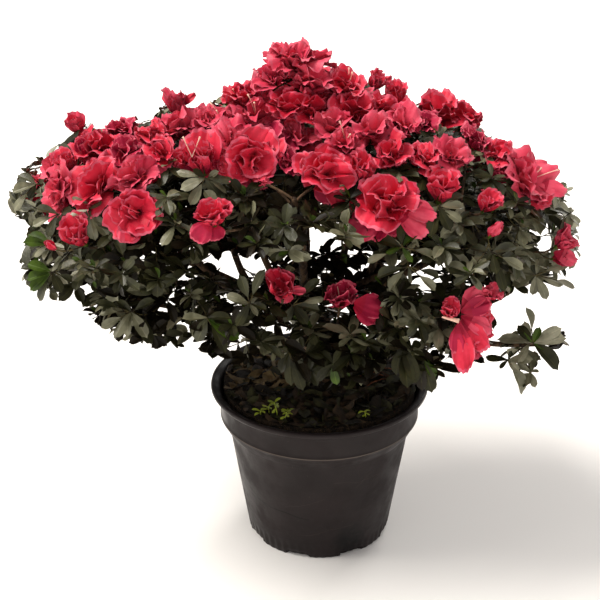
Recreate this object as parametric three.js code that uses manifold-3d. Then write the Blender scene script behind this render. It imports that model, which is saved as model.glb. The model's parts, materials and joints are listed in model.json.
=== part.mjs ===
// A double-flowered azalea in a black nursery pot: a short forked trunk, arched boughs, and masses of
// leafy twigs and ruffled blooms that make one wide, low dome.
// Millimetres, +Z up, the front at -Y. The origin is the middle of the pot's underside.
import * as THREE from "three";
import { mergeVertices } from "three/addons/utils/BufferGeometryUtils.js";
import Module from "manifold-3d";

const wasm = await Module();
wasm.setup();

// Driving sizes of the pot
const LIP_R = 95;
const POT_H = 145;
const BASE_R = 63;
const WALL = 1.8;
const FLOOR = 2.6;
const BAND_R = 86.5;
const BAND_FOOT = 116;
const SHOULDER_FOOT = 103;
const SHOULDER_R = 79.3;
const POT_SIDES = 28;
const NOTCHES = { count: 8, first: -63, wide: 22, high: 4, deep: 3.2 };

// Driving sizes of the soil and the wood
const GAP = 0.35;
const SOIL_EDGE = POT_H - 4;
const SOIL_MIDDLE = POT_H + 3;
const TRUNK = { foot: 19, waist: 12.5, top: 10.5, height: 47, lean: [-5, 2], sides: 9, steps: 5 };
const BOUGH = { foot: 4.8, tip: 2.6, sides: 5, steps: 5 };
const SIDE_BOUGH = { foot: 3.5, tip: 2.3, sides: 4, steps: 4 };
const SWAY = 9;
const SPOT_STEP = 4;

// Driving sizes of the crown: one dome, seen in plan as an ellipse, and the rings of masses under it.
// Blooms stay inside a share of the dome's plan, a little more of it at the sides.
const DOME = { centre: [-21, 15, 322], reach: [236, 182, 92], bloom_edge: 0.88, bloom_sides: 0.1 };
const TOP = { at: [-24, 6, 372], reach: [76, 72, 78], apex: 38 };
const OUTER = {
  centre: [-21, 12],
  radius: [178, 134],
  reach: 74,
  over: 6,
  spare: 8,
  hang: { side: 226, front: 332, back: 250 },
};
const UPPER = { centre: [-21, 12], radius: [104, 76], reach: 66, height: 362, half: 52, first: 18 };
const SPACE_GAP = 0.8;
// Masses look away from a point in the fork; a bough enters part of the way from their edge to their middle
const FORK_HEIGHT = SOIL_MIDDLE + 30;
const MOUTH = 0.72;
const BEARS = {
  top: { blooms: 6, shoots: 4 },
  outer: { blooms: 4, shoots: 6 },
  upper: { blooms: 6, shoots: 3 },
  lower: { shoots: 7 },
};
// Where a bough leaves the limb that carries it, as a share of that limb's length
const LEAVES_AT = { top: 1, main: 0.86, diagonal: 0.3, upper: 0.22, front_right: 0.3 };
const BEND = { foot: 0.36, tip: 0.34, along: 0.9, out: 0.75, taper: 0.85 };

// Driving sizes of twigs, leaves and blooms
const STEM = {
  foot: 2.5,
  tip: 2,
  sides: 4,
  steps: 3,
  bend: [0.35, 0.3],
  past: 0.1,
  ways: 12,
  stray: 5,
  clear: 3.5,
};
const TWIG = { foot: 0.56, tip: 0.8, finest: 0.65, least: 13, sides: 3, turning: 1.7, margin: 2, clear: 3 };
const NODES = { early: 0.42, middle: 0.5, late: 0.8 };
const LEAF = {
  shortest: 30,
  longest: 44,
  width: 0.42,
  broadest: 0.56,
  droop: 0.1,
  shrink: 0.8,
  least: 20,
  stub: 8,
};
const WHORL = { leaves: 5, above: 1.6, below: 3.2, valley: 2.6, open: 66, spread: 15, swing: 16, clear: 2 };
const BLOOM = {
  least: 23,
  most: 29,
  depth: 0.95,
  lobes: 10,
  heart: 0.6,
  keep: 0.9,
  tilt: 0.9,
  steepest: 0.25,
  widest: 0.9,
  apart: 46,
  sink: 3,
  margin: 8,
  beside: 2.5,
  below: 5,
  clear: 4,
  press: 0.88,
};
const BLOOM_ROWS = [
  { out: 0, up: 0.8, ruffle: 0, wave: 0 },
  { out: 0.48, up: 1, ruffle: 0.14, wave: 0.1 },
  { out: 0.92, up: 0.66, ruffle: 0.14, wave: -0.12 },
  { out: 0, up: 0, ruffle: 0, wave: 0 },
];
const SHOOT = {
  apart: 38,
  from_bloom: 33,
  margin: 9,
  clear: 5,
  lift: 1.6,
  inner: 0.42,
  band: 0.5,
  lean: 0.8,
  rise: 0.55,
  beside: 3.2,
  below: 1.2,
};
const DARTS = { bloom: 320, shoot: 160 };
const SEEDS = { boughs: 11, growth: 101, leaves: 601 };

const UP = new THREE.Vector3(0, 0, 1);
const radians = THREE.MathUtils.degToRad;
const vec = (x, y, z) => new THREE.Vector3(x, y, z);

// Seeded draws from 0 to 1. Every product stays a whole number that a double holds exactly.
function seededDraws(seed) {
  let state = seed;
  return () => {
    state = (state * 1664525 + 1013904223) % 4294967296;
    return state / 4294967296;
  };
}

// From three.js geometry to a solid that can be cut and joined, and back
function solidOf(geometry) {
  const bare = new THREE.BufferGeometry();
  bare.setAttribute("position", geometry.getAttribute("position"));
  if (geometry.index) bare.setIndex(geometry.index);
  const merged = mergeVertices(bare, 1e-4);
  const corners = Array.from(merged.index.array);
  const faces = [];
  for (let i = 0; i < corners.length; i += 3) {
    const [a, b, c] = corners.slice(i, i + 3);
    if (a !== b && b !== c && c !== a) faces.push(a, b, c);
  }
  const mesh = new wasm.Mesh({
    numProp: 3,
    vertProperties: merged.attributes.position.array,
    triVerts: new Uint32Array(faces),
  });
  return new wasm.Manifold(mesh);
}

function geometryOf(solid) {
  const mesh = solid.getMesh();
  const geometry = new THREE.BufferGeometry();
  geometry.setAttribute("position", new THREE.BufferAttribute(mesh.vertProperties, mesh.numProp));
  geometry.setIndex(new THREE.BufferAttribute(mesh.triVerts, 1));
  geometry.computeVertexNormals();
  return geometry;
}

// The largest body of a solid, without loose scraps and with sealed hollows filled
function mainBody(solid) {
  const bodies = solid.decompose();
  return bodies.reduce((best, body) => (body.volume() > best.volume() ? body : best));
}

// A profile of [radius, height] points turned round the Z axis
function turned(profile, sides) {
  const points = profile.map(([r, z]) => new THREE.Vector2(r, z));
  return new THREE.LatheGeometry(points, sides).rotateX(Math.PI / 2);
}

// A closed tube along a curve: a capped cylinder whose rings are laid on the curve. Spare makes it thicker
// and longer all round.
function taperedTube(curve, radiusAt, sides, steps, spare = 0) {
  const tube = new THREE.CylinderGeometry(1, 1, 1, sides, steps);
  const { tangents, normals, binormals } = curve.computeFrenetFrames(steps);
  const at = tube.attributes.position;
  for (let i = 0; i < at.count; i++) {
    const along = at.getY(i) + 0.5;
    const ring = Math.round(along * steps);
    const r = radiusAt(along) + spare / Math.cos(Math.PI / sides);
    const place = curve.getPoint(along);
    place.addScaledVector(binormals[ring], at.getX(i) * r);
    place.addScaledVector(normals[ring], at.getZ(i) * r);
    if (ring === 0) place.addScaledVector(tangents[0], -spare);
    if (ring === steps) place.addScaledVector(tangents[steps], spare);
    at.setXYZ(i, place.x, place.y, place.z);
  }
  return tube;
}

// The pot: base, straight wall, rounded shoulder, band and overhanging lip, then the inside down again
function potSolid() {
  const inner = SHOULDER_R - WALL;
  const profile = [
    [0, 0],
    [BASE_R, 0],
    [SHOULDER_R, SHOULDER_FOOT],
    [BAND_R - 2.2, SHOULDER_FOOT + 6],
    [BAND_R, BAND_FOOT],
    [BAND_R + 0.8, POT_H - 7],
    [LIP_R - 1.2, POT_H - 4.4],
    [LIP_R, POT_H - 2.2],
    [LIP_R - 2, POT_H],
    [BAND_R - WALL + 1.6, POT_H - 5],
    [BAND_R - WALL, BAND_FOOT],
    [inner, SHOULDER_FOOT],
    [BASE_R - WALL + 0.4, FLOOR],
    [0, FLOOR],
  ];
  let pot = solidOf(turned(profile, POT_SIDES));
  const { count, first, wide, high, deep } = NOTCHES;
  for (let n = 0; n < count; n++) {
    const notch = new THREE.BoxGeometry(2 * deep, wide, 2 * high);
    notch.translate(BASE_R, 0, 0).rotateZ(radians(first + (360 * n) / count));
    pot = pot.subtract(solidOf(notch));
  }
  return pot;
}

// The potting mix fills the pot and rises to a low mound with a level place for the trunk
function soilSolid() {
  const profile = [
    [0, FLOOR + GAP],
    [BASE_R - WALL, FLOOR + GAP],
    [SHOULDER_R - WALL - GAP, SHOULDER_FOOT],
    [BAND_R - WALL - 0.6, BAND_FOOT + 2],
    [BAND_R - WALL - 0.6, SOIL_EDGE],
    [56, SOIL_MIDDLE - 2],
    [27, SOIL_MIDDLE],
    [0, SOIL_MIDDLE],
  ];
  return solidOf(turned(profile, POT_SIDES));
}

// Limbs: each has a curve, a radius along it and a solid. Later limbs are cut clear of earlier ones.
const limbs = new Map();

function limbTube({ curve, radiusAt, sides, steps }, spare) {
  return taperedTube(curve, radiusAt, sides, steps, spare);
}

function trunkLimb() {
  const foot = SOIL_MIDDLE + GAP;
  const [leanX, leanY] = TRUNK.lean;
  const curve = new THREE.CatmullRomCurve3([
    vec(0, 0, foot),
    vec(0.2 * leanX, 0, foot + 0.3 * TRUNK.height),
    vec(0.6 * leanX, 0.6 * leanY, foot + 0.7 * TRUNK.height),
    vec(leanX, leanY, foot + TRUNK.height),
  ]);
  const radiusAt = (t) => {
    const flare = (TRUNK.foot - TRUNK.waist) * Math.max(0, 1 - 3 * t) ** 2;
    return flare + THREE.MathUtils.lerp(TRUNK.waist, TRUNK.top, t);
  };
  const limb = { curve, radiusAt, sides: TRUNK.sides, steps: TRUNK.steps };
  const tube = limbTube(limb);
  // The curve leans a little, so the lowest ring is laid level again
  const at = tube.attributes.position;
  for (let i = 0; i < at.count; i++) if (at.getZ(i) < foot + 3) at.setZ(i, foot);
  return { ...limb, solid: solidOf(tube) };
}

// A bough from a place on its parent limb to the mouth of its mass
function boughLimb(parent, mass, size, draw) {
  const from = parent.curve.getPoint(mass.leavesAt);
  const toTip = mass.mouth.clone().sub(from);
  const length = toTip.length();
  const out = vec(toTip.x, toTip.y, 0).normalize();
  const along = parent.curve.getTangent(mass.leavesAt);
  const start = along.multiplyScalar(BEND.along).addScaledVector(out, BEND.out).normalize();
  const sway = vec(draw() - 0.5, draw() - 0.5, draw() - 0.5).multiplyScalar(SWAY);
  const curve = new THREE.CubicBezierCurve3(
    from,
    from.clone().addScaledVector(start, BEND.foot * length).add(sway),
    mass.mouth.clone().addScaledVector(mass.heading, -BEND.tip * length).sub(sway),
    mass.mouth.clone(),
  );
  const radiusAt = (t) => THREE.MathUtils.lerp(size.foot, size.tip, t ** BEND.taper);
  const limb = { curve, radiusAt, sides: size.sides, steps: size.steps };
  return { ...limb, solid: solidOf(limbTube(limb)) };
}

// Masses of foliage: each has a middle, a reach, the limb that feeds it and what it bears
function domePlan(x, y) {
  const across = (x - DOME.centre[0]) / DOME.reach[0];
  const deep = (y - DOME.centre[1]) / DOME.reach[1];
  return { across, out: Math.hypot(across, deep) };
}

function domeTop(x, y) {
  const { out } = domePlan(x, y);
  return DOME.centre[2] + DOME.reach[2] * Math.sqrt(Math.max(0, 1 - out * out));
}

function ringPlace({ centre, radius }, angle) {
  const turn = radians(angle);
  return [centre[0] + radius[0] * Math.cos(turn), centre[1] + radius[1] * Math.sin(turn)];
}

function crownPlan() {
  const plan = [{ name: "top", ...TOP, from: "trunk", leavesAt: LEAVES_AT.top, ...BEARS.top }];
  const add = (name, at, reach, from, leavesAt, bears) =>
    plan.push({ name, at, reach, from, leavesAt, apex: 0, ...bears });
  const sides = ["right", "back_right", "back", "back_left", "left", "front_left", "front", "front_right"];
  sides.forEach((side, n) => {
    const angle = (360 * n) / sides.length;
    const [x, y] = ringPlace(OUTER, angle);
    const deep = Math.sin(radians(angle));
    const { side: low, front, back } = OUTER.hang;
    const under = low + ((deep < 0 ? front : back) - low) * deep * deep;
    const half = (domeTop(x, y) + OUTER.over - under) / 2;
    const reach = [OUTER.reach, OUTER.reach, half + OUTER.spare];
    const main = n % 2 === 0;
    const parent = main ? "trunk" : "outer_" + sides[n - 1];
    const leavesAt = main ? LEAVES_AT.main : LEAVES_AT.diagonal;
    add("outer_" + side, [x, y, under + half], reach, parent, leavesAt, BEARS.outer);
  });
  const upperNames = ["right", "back", "left", "front_left", "front_right"];
  const feeders = ["outer_right", "outer_back", "outer_left", "outer_front", "outer_front"];
  upperNames.forEach((side, n) => {
    const [x, y] = ringPlace(UPPER, UPPER.first + (360 * n) / upperNames.length);
    const reach = [UPPER.reach, UPPER.reach, UPPER.half];
    const leavesAt = LEAVES_AT[side] ?? LEAVES_AT.upper;
    add("upper_" + side, [x, y, UPPER.height], reach, feeders[n], leavesAt, BEARS.upper);
  });
  const lower = (name, at, reach, from, leavesAt, blooms) =>
    add("lower_" + name, at, reach, from, leavesAt, { blooms, ...BEARS.lower });
  lower("left", [-138, -42, 240], [60, 50, 40], "outer_left", 0.5, 0);
  lower("front_left", [-60, -104, 264], [54, 46, 42], "outer_front", 0.24, 1);
  lower("front", [12, -84, 238], [52, 44, 50], "trunk", 0.66, 1);
  lower("front_right", [86, -98, 262], [54, 46, 58], "outer_right", 0.3, 1);
  lower("right", [124, -40, 232], [42, 48, 42], "outer_right", 0.52, 2);
  lower("sprig", [172, -82, 222], [36, 36, 42], "lower_right", 0.6, 0);
  lower("back_left", [-84, 92, 272], [58, 50, 44], "outer_back_left", 0.4, 1);
  lower("back_right", [72, 96, 270], [58, 50, 44], "outer_back_right", 0.4, 1);
  return plan;
}

// How far the ellipsoid of a reach goes from its middle in a direction
function support(reach, way) {
  return 1 / Math.hypot(way.x / reach[0], way.y / reach[1], way.z / reach[2]);
}

// The space of a mass: its own ellipsoid, the dome, and a plane between it and each neighbour
function giveSpaces(masses) {
  for (const mass of masses) {
    mass.planes = [];
    for (const other of masses) {
      if (other === mass) continue;
      const way = other.middle.clone().sub(mass.middle);
      const apart = way.length();
      way.normalize();
      const own = support(mass.reach, way);
      const theirs = support(other.reach, way);
      if (own + theirs < apart) continue;
      mass.planes.push({ way, limit: (apart * own) / (own + theirs) - SPACE_GAP / 2 });
    }
  }
}

function insidePlanes(mass, point, margin) {
  const from = point.clone().sub(mass.middle);
  return mass.planes.every(({ way, limit }) => from.dot(way) < limit - margin);
}

function inSpace(mass, point, margin) {
  const from = point.clone().sub(mass.middle);
  const [rx, ry, rz] = mass.reach;
  const out = Math.hypot(from.x / (rx - margin), from.y / (ry - margin), from.z / (rz - margin));
  if (out > 1) return false;
  if (point.z > domeTop(point.x, point.y) + mass.apex - margin) return false;
  return insidePlanes(mass, point, margin);
}

function nearestWood(point) {
  let nearest = Infinity;
  for (const { spots } of limbs.values())
    for (const { place, r } of spots) nearest = Math.min(nearest, place.distanceTo(point) - r);
  return nearest;
}

// A twig is a straight length from a node of older wood to a tip, inside the space and off the limbs
function twigFits(mass, from, tip) {
  for (let eighth = 2; eighth <= 8; eighth++) {
    const point = from.clone().lerp(tip, eighth / 8);
    if (!inSpace(mass, point, TWIG.margin) || nearestWood(point) < TWIG.clear) return false;
  }
  return true;
}

// The node of older wood that a new twig leaves: near, and already heading that way
function bestNode(nodes, tip) {
  let best = null;
  let least = Infinity;
  for (const node of nodes) {
    const way = tip.clone().sub(node.place);
    const apart = way.length();
    if (apart < TWIG.least) continue;
    const cost = apart * (TWIG.turning - way.dot(node.way) / apart);
    if (cost < least) [least, best] = [cost, node];
  }
  return best;
}

// A node halfway along each straight length of a tube, and another near the end of the last one
function addNodes(nodes, places, r) {
  places.slice(1).forEach((after, i) => {
    const before = places[i];
    const way = after.clone().sub(before).normalize();
    const last = i === places.length - 2;
    const shares = last ? [NODES.early, NODES.late] : [NODES.middle];
    for (const t of shares) nodes.push({ place: before.clone().lerp(after, t), way, r });
  });
}

// A seeded dart for a bloom, the first at the middle of its mass. Its face lies on the dome, or on the
// upper side of a mass below the dome.
function bloomDart(mass, dart, draw) {
  const turn = draw() * 2 * Math.PI;
  const out = BLOOM.widest * Math.sqrt(draw()) * Math.min(1, dart);
  const radius = THREE.MathUtils.lerp(BLOOM.least, BLOOM.most, draw());
  const tilt = [draw() - 0.5, draw() - 0.5];
  const spin = draw() * 360;
  const [rx, ry, rz] = mass.reach;
  const x = mass.middle.x + rx * out * Math.cos(turn);
  const y = mass.middle.y + ry * out * Math.sin(turn);
  const own = mass.middle.z + rz * Math.sqrt(Math.max(0, 1 - out * out));
  const z = Math.min(own, domeTop(x, y) + mass.apex) - BLOOM.sink;
  const slopeX = (x - DOME.centre[0]) / DOME.reach[0] ** 2;
  const slopeY = (y - DOME.centre[1]) / DOME.reach[1] ** 2;
  const slopeZ = Math.max(BLOOM.steepest, (z - DOME.centre[2]) / DOME.reach[2]) / DOME.reach[2];
  const axis = vec(slopeX, slopeY, slopeZ).normalize();
  axis.x += BLOOM.tilt * tilt[0];
  axis.y += BLOOM.tilt * tilt[1];
  axis.normalize();
  const face = vec(x, y, z);
  const foot = face.clone().addScaledVector(axis, -radius * BLOOM.depth);
  return { face, foot, axis, radius, spin };
}

function bloomFits(mass, bloom, blooms) {
  const { across, out } = domePlan(bloom.face.x, bloom.face.y);
  if (out > DOME.bloom_edge + DOME.bloom_sides * across * across) return false;
  if (blooms.some((other) => other.face.distanceTo(bloom.face) < BLOOM.apart)) return false;
  const heart = bloom.face.clone().addScaledVector(bloom.axis, -0.5 * bloom.radius);
  if (!insidePlanes(mass, heart, BLOOM.margin)) return false;
  return nearestWood(heart) > BLOOM.keep * bloom.radius && nearestWood(bloom.foot) > BLOOM.clear;
}

function heartOf({ foot, axis, radius }) {
  return foot.clone().addScaledVector(axis, BLOOM.heart * radius);
}

function insideBloom(blooms, point) {
  return blooms.some((bloom) => heartOf(bloom).distanceTo(point) < BLOOM.keep * bloom.radius);
}

// A seeded dart for a leafy shoot: anywhere in the mass, heading outwards and up
function shootDart(mass, draw) {
  const turn = draw() * 2 * Math.PI;
  const lift = SHOOT.lift * draw() - 1;
  const out = SHOOT.inner + SHOOT.band * draw();
  const spin = draw() * 360;
  const flat = Math.sqrt(1 - lift * lift);
  const way = vec(flat * Math.cos(turn), flat * Math.sin(turn), lift);
  const [rx, ry, rz] = mass.reach;
  const tip = mass.middle.clone().add(vec(way.x * rx * out, way.y * ry * out, way.z * rz * out));
  const axis = way.clone().multiplyScalar(SHOOT.lean).addScaledVector(UP, SHOOT.rise).normalize();
  return { tip, axis, spin };
}

function shootFits(mass, shoot, shoots, blooms) {
  if (!inSpace(mass, shoot.tip, SHOOT.margin)) return false;
  if (shoots.some((other) => other.tip.distanceTo(shoot.tip) < SHOOT.apart)) return false;
  if (blooms.some((bloom) => heartOf(bloom).distanceTo(shoot.tip) < SHOOT.from_bloom)) return false;
  return nearestWood(shoot.tip) > SHOOT.clear;
}

// The stem runs from the mouth to near the middle of its mass, by the first seeded way clear of wood
function stemCurve(mass, draw) {
  const start = mass.mouth.clone().addScaledVector(mass.heading, GAP);
  let best = null;
  for (let way = 0; way < STEM.ways; way++) {
    const aside = vec(draw() - 0.5, draw() - 0.5, draw() - 0.5).multiplyScalar(STEM.stray * way);
    const end = mass.middle.clone().addScaledVector(mass.heading, STEM.past * mass.reach[2]).add(aside);
    const length = start.distanceTo(end);
    const curve = new THREE.CubicBezierCurve3(
      start,
      start.clone().addScaledVector(mass.heading, STEM.bend[0] * length),
      end.clone().addScaledVector(mass.heading, -STEM.bend[1] * length),
      end,
    );
    const room = Math.min(...[0.25, 0.4, 0.55, 0.7, 0.85, 1].map((t) => nearestWood(curve.getPoint(t))));
    if (!best || room > best.room + 0.5) best = { curve, room };
    if (best.room > STEM.clear) break;
  }
  return best.curve;
}

// The growing rule: the stem, then one twig for each dart that fits, blooms before leafy shoots
function grow(mass, seed, allBlooms) {
  const draw = seededDraws(seed);
  const stem = stemCurve(mass, draw);
  const nodes = [];
  addNodes(nodes, stem.getPoints(STEM.steps), STEM.tip);
  const twigs = [];
  const blooms = [];
  const shoots = [];
  const reachTip = (tip) => {
    const node = bestNode(nodes, tip);
    if (!node || !twigFits(mass, node.place, tip)) return false;
    nodes.splice(nodes.indexOf(node), 1);
    const r = Math.max(TWIG.finest, TWIG.foot * node.r);
    const curve = new THREE.LineCurve3(node.place, tip);
    twigs.push({ curve, foot: r, tip: Math.max(TWIG.finest, TWIG.tip * r) });
    addNodes(nodes, [node.place, tip], r);
    return true;
  };
  for (let dart = 0; dart < DARTS.bloom; dart++) {
    const bloom = bloomDart(mass, dart, draw);
    if (blooms.length >= mass.blooms || !bloomFits(mass, bloom, allBlooms)) continue;
    if (!reachTip(bloom.foot)) continue;
    blooms.push(bloom);
    allBlooms.push(bloom);
  }
  for (let dart = 0; dart < DARTS.shoot; dart++) {
    const shoot = shootDart(mass, draw);
    if (shoots.length >= mass.shoots || !shootFits(mass, shoot, shoots, allBlooms)) continue;
    if (reachTip(shoot.tip)) shoots.push(shoot);
  }
  return { stem, twigs, blooms, shoots };
}

// The outline of one leaf as [left, tip, right], from its whorl's heart
function leafOutline(heart, { way, side, length }, droopWay) {
  const point = (along, across) =>
    heart
      .clone()
      .addScaledVector(way, along * length)
      .addScaledVector(side, 0.5 * across * LEAF.width * length)
      .addScaledVector(droopWay, -LEAF.droop * along * along * length);
  return [point(LEAF.broadest, -1), point(1, 0), point(LEAF.broadest, 1)];
}

// A whorl of leaves: a ball of two rows whose middle ring is drawn out to the leaves' outlines.
// A leaf that would leave the mass's space or come near a limb is drawn shorter, down to a stub.
function whorlGeometry(mass, { tip, axis, spin }, blooms, draw) {
  const east = vec(axis.z, 0, -axis.x).normalize();
  const firstWay = east.clone().applyAxisAngle(axis, radians(spin));
  const heart = tip.clone().addScaledVector(firstWay, -SHOOT.beside).addScaledVector(axis, -SHOOT.below);
  const turnStep = (2 * Math.PI) / WHORL.leaves;
  const free = (point) =>
    inSpace(mass, point, 0) && nearestWood(point) > WHORL.clear && !insideBloom(blooms, point);
  const ring = [];
  for (let n = 0; n < WHORL.leaves; n++) {
    const turn = radians(spin) + n * turnStep;
    const swing = radians(WHORL.swing) * (draw() - 0.5);
    const open = radians(WHORL.open + WHORL.spread * (2 * draw() - 1));
    const ray = east.clone().applyAxisAngle(axis, turn + swing);
    const leaf = {
      way: axis.clone().multiplyScalar(Math.cos(open)).addScaledVector(ray, Math.sin(open)),
      side: axis.clone().cross(ray),
      length: THREE.MathUtils.lerp(LEAF.shortest, LEAF.longest, draw()),
    };
    let outline = leafOutline(heart, leaf, axis);
    while (leaf.length > LEAF.stub && !outline.every(free)) {
      leaf.length = leaf.length > LEAF.least ? LEAF.shrink * leaf.length : LEAF.stub;
      outline = leafOutline(heart, leaf, axis);
    }
    const between = east.clone().applyAxisAngle(axis, turn - turnStep / 2);
    ring.push(heart.clone().addScaledVector(between, WHORL.valley), ...outline);
  }
  const star = new THREE.SphereGeometry(1, ring.length, 2);
  const at = star.attributes.position;
  for (let i = 0; i < at.count; i++) {
    const height = at.getY(i);
    const place = heart.clone();
    if (height > 0.5) place.addScaledVector(axis, WHORL.above);
    else if (height < -0.5) place.addScaledVector(axis, -WHORL.below);
    else place.copy(ring[(i - (ring.length + 1)) % ring.length]);
    at.setXYZ(i, place.x, place.y, place.z);
  }
  return star;
}

// A bloom: a ball of three rows drawn out to a funnel, with a ruffled rim and a raised, ruffled heart.
// Where it would leave the mass's space it is pressed in.
function bloomGeometry(mass, { foot, axis, radius, spin }) {
  const ball = new THREE.SphereGeometry(1, BLOOM.lobes, BLOOM_ROWS.length - 1);
  const side = vec(axis.z, 0, -axis.x).normalize().applyAxisAngle(axis, radians(spin));
  const across = axis.clone().cross(side);
  const middle = foot.clone().addScaledVector(side, BLOOM.beside).addScaledVector(axis, -BLOOM.below);
  const at = ball.attributes.position;
  for (let i = 0; i < at.count; i++) {
    const row = BLOOM_ROWS[Math.floor(i / (BLOOM.lobes + 1))];
    const column = i % (BLOOM.lobes + 1);
    const turn = (2 * Math.PI * column) / BLOOM.lobes;
    const lobe = column % 2 ? -1 : 1;
    let out = radius * (row.out + row.ruffle * lobe);
    const up = radius * BLOOM.depth * (row.up + row.wave * lobe);
    const ray = side.clone().multiplyScalar(Math.cos(turn)).addScaledVector(across, Math.sin(turn));
    const hub = middle.clone().addScaledVector(axis, up);
    while (out > 2 && !insidePlanes(mass, hub.clone().addScaledVector(ray, out), 0)) out *= BLOOM.press;
    const place = hub.addScaledVector(ray, out);
    at.setXYZ(i, place.x, place.y, place.z);
  }
  return ball;
}

// One solid for a mass: the stem, its twigs, and a bloom or a whorl of leaves at each twig's tip
function massSolid(mass, growth, seed, wood) {
  const draw = seededDraws(seed);
  const twigs = growth.twigs.map((twig) => ({ ...twig, sides: TWIG.sides, steps: 1 }));
  const pieces = [{ ...STEM, curve: growth.stem }, ...twigs].map(({ curve, foot, tip, sides, steps }) =>
    taperedTube(curve, (t) => THREE.MathUtils.lerp(foot, tip, t), sides, steps),
  );
  pieces.push(...growth.blooms.map((bloom) => bloomGeometry(mass, bloom)));
  pieces.push(...growth.shoots.map((shoot) => whorlGeometry(mass, shoot, growth.blooms, draw)));
  const joined = pieces.map(solidOf).reduce((all, piece) => all.add(piece));
  return mainBody(joined.subtract(wood));
}

const COLOURS = {
  pot: { color: 0x2b2727, roughness: 0.55 },
  soil: { color: 0x2e241a, roughness: 1 },
  wood: { color: 0x5a4334, roughness: 0.9 },
  foliage: { color: 0x2f3d24, roughness: 0.6 },
  blossom: { color: 0xb8233f, roughness: 0.7 },
};

const azalea = new THREE.Group();

function addMesh(name, solid, finish) {
  const material = new THREE.MeshStandardMaterial({ metalness: 0, ...COLOURS[finish] });
  const mesh = new THREE.Mesh(geometryOf(solid), material);
  mesh.name = name;
  azalea.add(mesh);
}

// Points along a limb, close enough together to test how near other wood comes
function spotsOf({ curve, radiusAt }) {
  const steps = Math.ceil(curve.getLength() / SPOT_STEP);
  const spotAt = (t) => ({ place: curve.getPoint(t), r: radiusAt(t) });
  return Array.from({ length: steps + 1 }, (_, i) => spotAt(i / steps));
}

function placeMouths(masses) {
  for (const mass of masses) {
    mass.middle = vec(...mass.at);
    mass.heading = mass.middle.clone().sub(vec(0, 0, FORK_HEIGHT)).normalize();
    const back = MOUTH * support(mass.reach, mass.heading);
    mass.mouth = mass.middle.clone().addScaledVector(mass.heading, -back);
  }
}

function growLimbs(masses) {
  const draw = seededDraws(SEEDS.boughs);
  limbs.set("trunk", trunkLimb());
  const fromTrunk = masses.filter((mass) => mass.from === "trunk");
  const fromBoughs = masses.filter((mass) => mass.from !== "trunk");
  for (const mass of [...fromTrunk, ...fromBoughs]) {
    const limb = boughLimb(limbs.get(mass.from), mass, mass.from === "trunk" ? BOUGH : SIDE_BOUGH, draw);
    for (const other of limbs.values()) limb.solid = limb.solid.subtract(solidOf(limbTube(other, GAP)));
    limb.solid = mainBody(limb.solid);
    limbs.set(mass.name, limb);
  }
  for (const limb of limbs.values()) limb.spots = spotsOf(limb);
}

function buildPlant() {
  const masses = crownPlan();
  placeMouths(masses);
  giveSpaces(masses);
  growLimbs(masses);
  addMesh("pot", potSolid(), "pot");
  addMesh("soil", soilSolid(), "soil");
  for (const [name, { solid }] of limbs) addMesh(name === "trunk" ? name : "bough_" + name, solid, "wood");
  const clearances = [...limbs.values()].map((limb) => solidOf(limbTube(limb, GAP)));
  const wood = clearances.reduce((all, one) => all.add(one));
  const allBlooms = [];
  masses.forEach((mass, n) => {
    const growth = grow(mass, SEEDS.growth + n, allBlooms);
    const solid = massSolid(mass, growth, SEEDS.leaves + n, wood);
    addMesh("mass_" + mass.name, solid, growth.blooms.length > 1 ? "blossom" : "foliage");
  });
}

buildPlant();

export default azalea;
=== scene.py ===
import json
import math
from types import SimpleNamespace as Values

import bmesh
import bpy
import numpy as np
from mathutils import Matrix, Vector, noise

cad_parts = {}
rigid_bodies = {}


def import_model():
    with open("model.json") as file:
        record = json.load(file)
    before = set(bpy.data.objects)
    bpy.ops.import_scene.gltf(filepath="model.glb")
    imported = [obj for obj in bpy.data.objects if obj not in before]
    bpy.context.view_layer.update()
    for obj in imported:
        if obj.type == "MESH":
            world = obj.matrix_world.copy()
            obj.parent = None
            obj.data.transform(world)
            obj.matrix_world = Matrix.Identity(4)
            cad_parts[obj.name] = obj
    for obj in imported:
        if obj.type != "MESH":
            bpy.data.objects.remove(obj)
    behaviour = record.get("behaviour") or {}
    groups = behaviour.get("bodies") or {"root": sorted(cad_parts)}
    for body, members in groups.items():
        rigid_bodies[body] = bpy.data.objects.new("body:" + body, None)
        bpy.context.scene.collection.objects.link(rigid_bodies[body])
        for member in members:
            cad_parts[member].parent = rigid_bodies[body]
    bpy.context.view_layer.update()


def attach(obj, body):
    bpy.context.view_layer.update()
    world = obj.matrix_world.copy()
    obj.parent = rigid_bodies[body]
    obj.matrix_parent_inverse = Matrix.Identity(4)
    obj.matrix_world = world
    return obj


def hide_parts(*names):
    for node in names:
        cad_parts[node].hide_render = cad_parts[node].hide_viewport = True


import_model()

# A double-flowered azalea in a black nursery pot. Shapes are worked out in millimetres, as in the part's
# source, and their meshes, the materials, the lights and the camera are in metres.
MM = 0.001

# The pot
LIP_R = 95
POT_H = 145
BASE_R = 63
WALL = 1.8
FLOOR = 2.6
BAND_R = 86.5
BAND_FOOT = 116
SHOULDER_FOOT = 103
SHOULDER_R = 79.3
NOTCHES = Values(count=8, first=-63, wide=22, high=4, deep=3.2, corner=1.2)
RIBS = Values(count=56, top=15, fade=3, deep=0.55)
POT_TURNS = 336

# The soil and the wood
SOIL_EDGE = POT_H - 4
SOIL_MIDDLE = POT_H + 3
GAP = 0.35
TRUNK = Values(foot=19, waist=12.5, top=10.5, height=47, lean=(-5, 2), flare=3)
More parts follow.
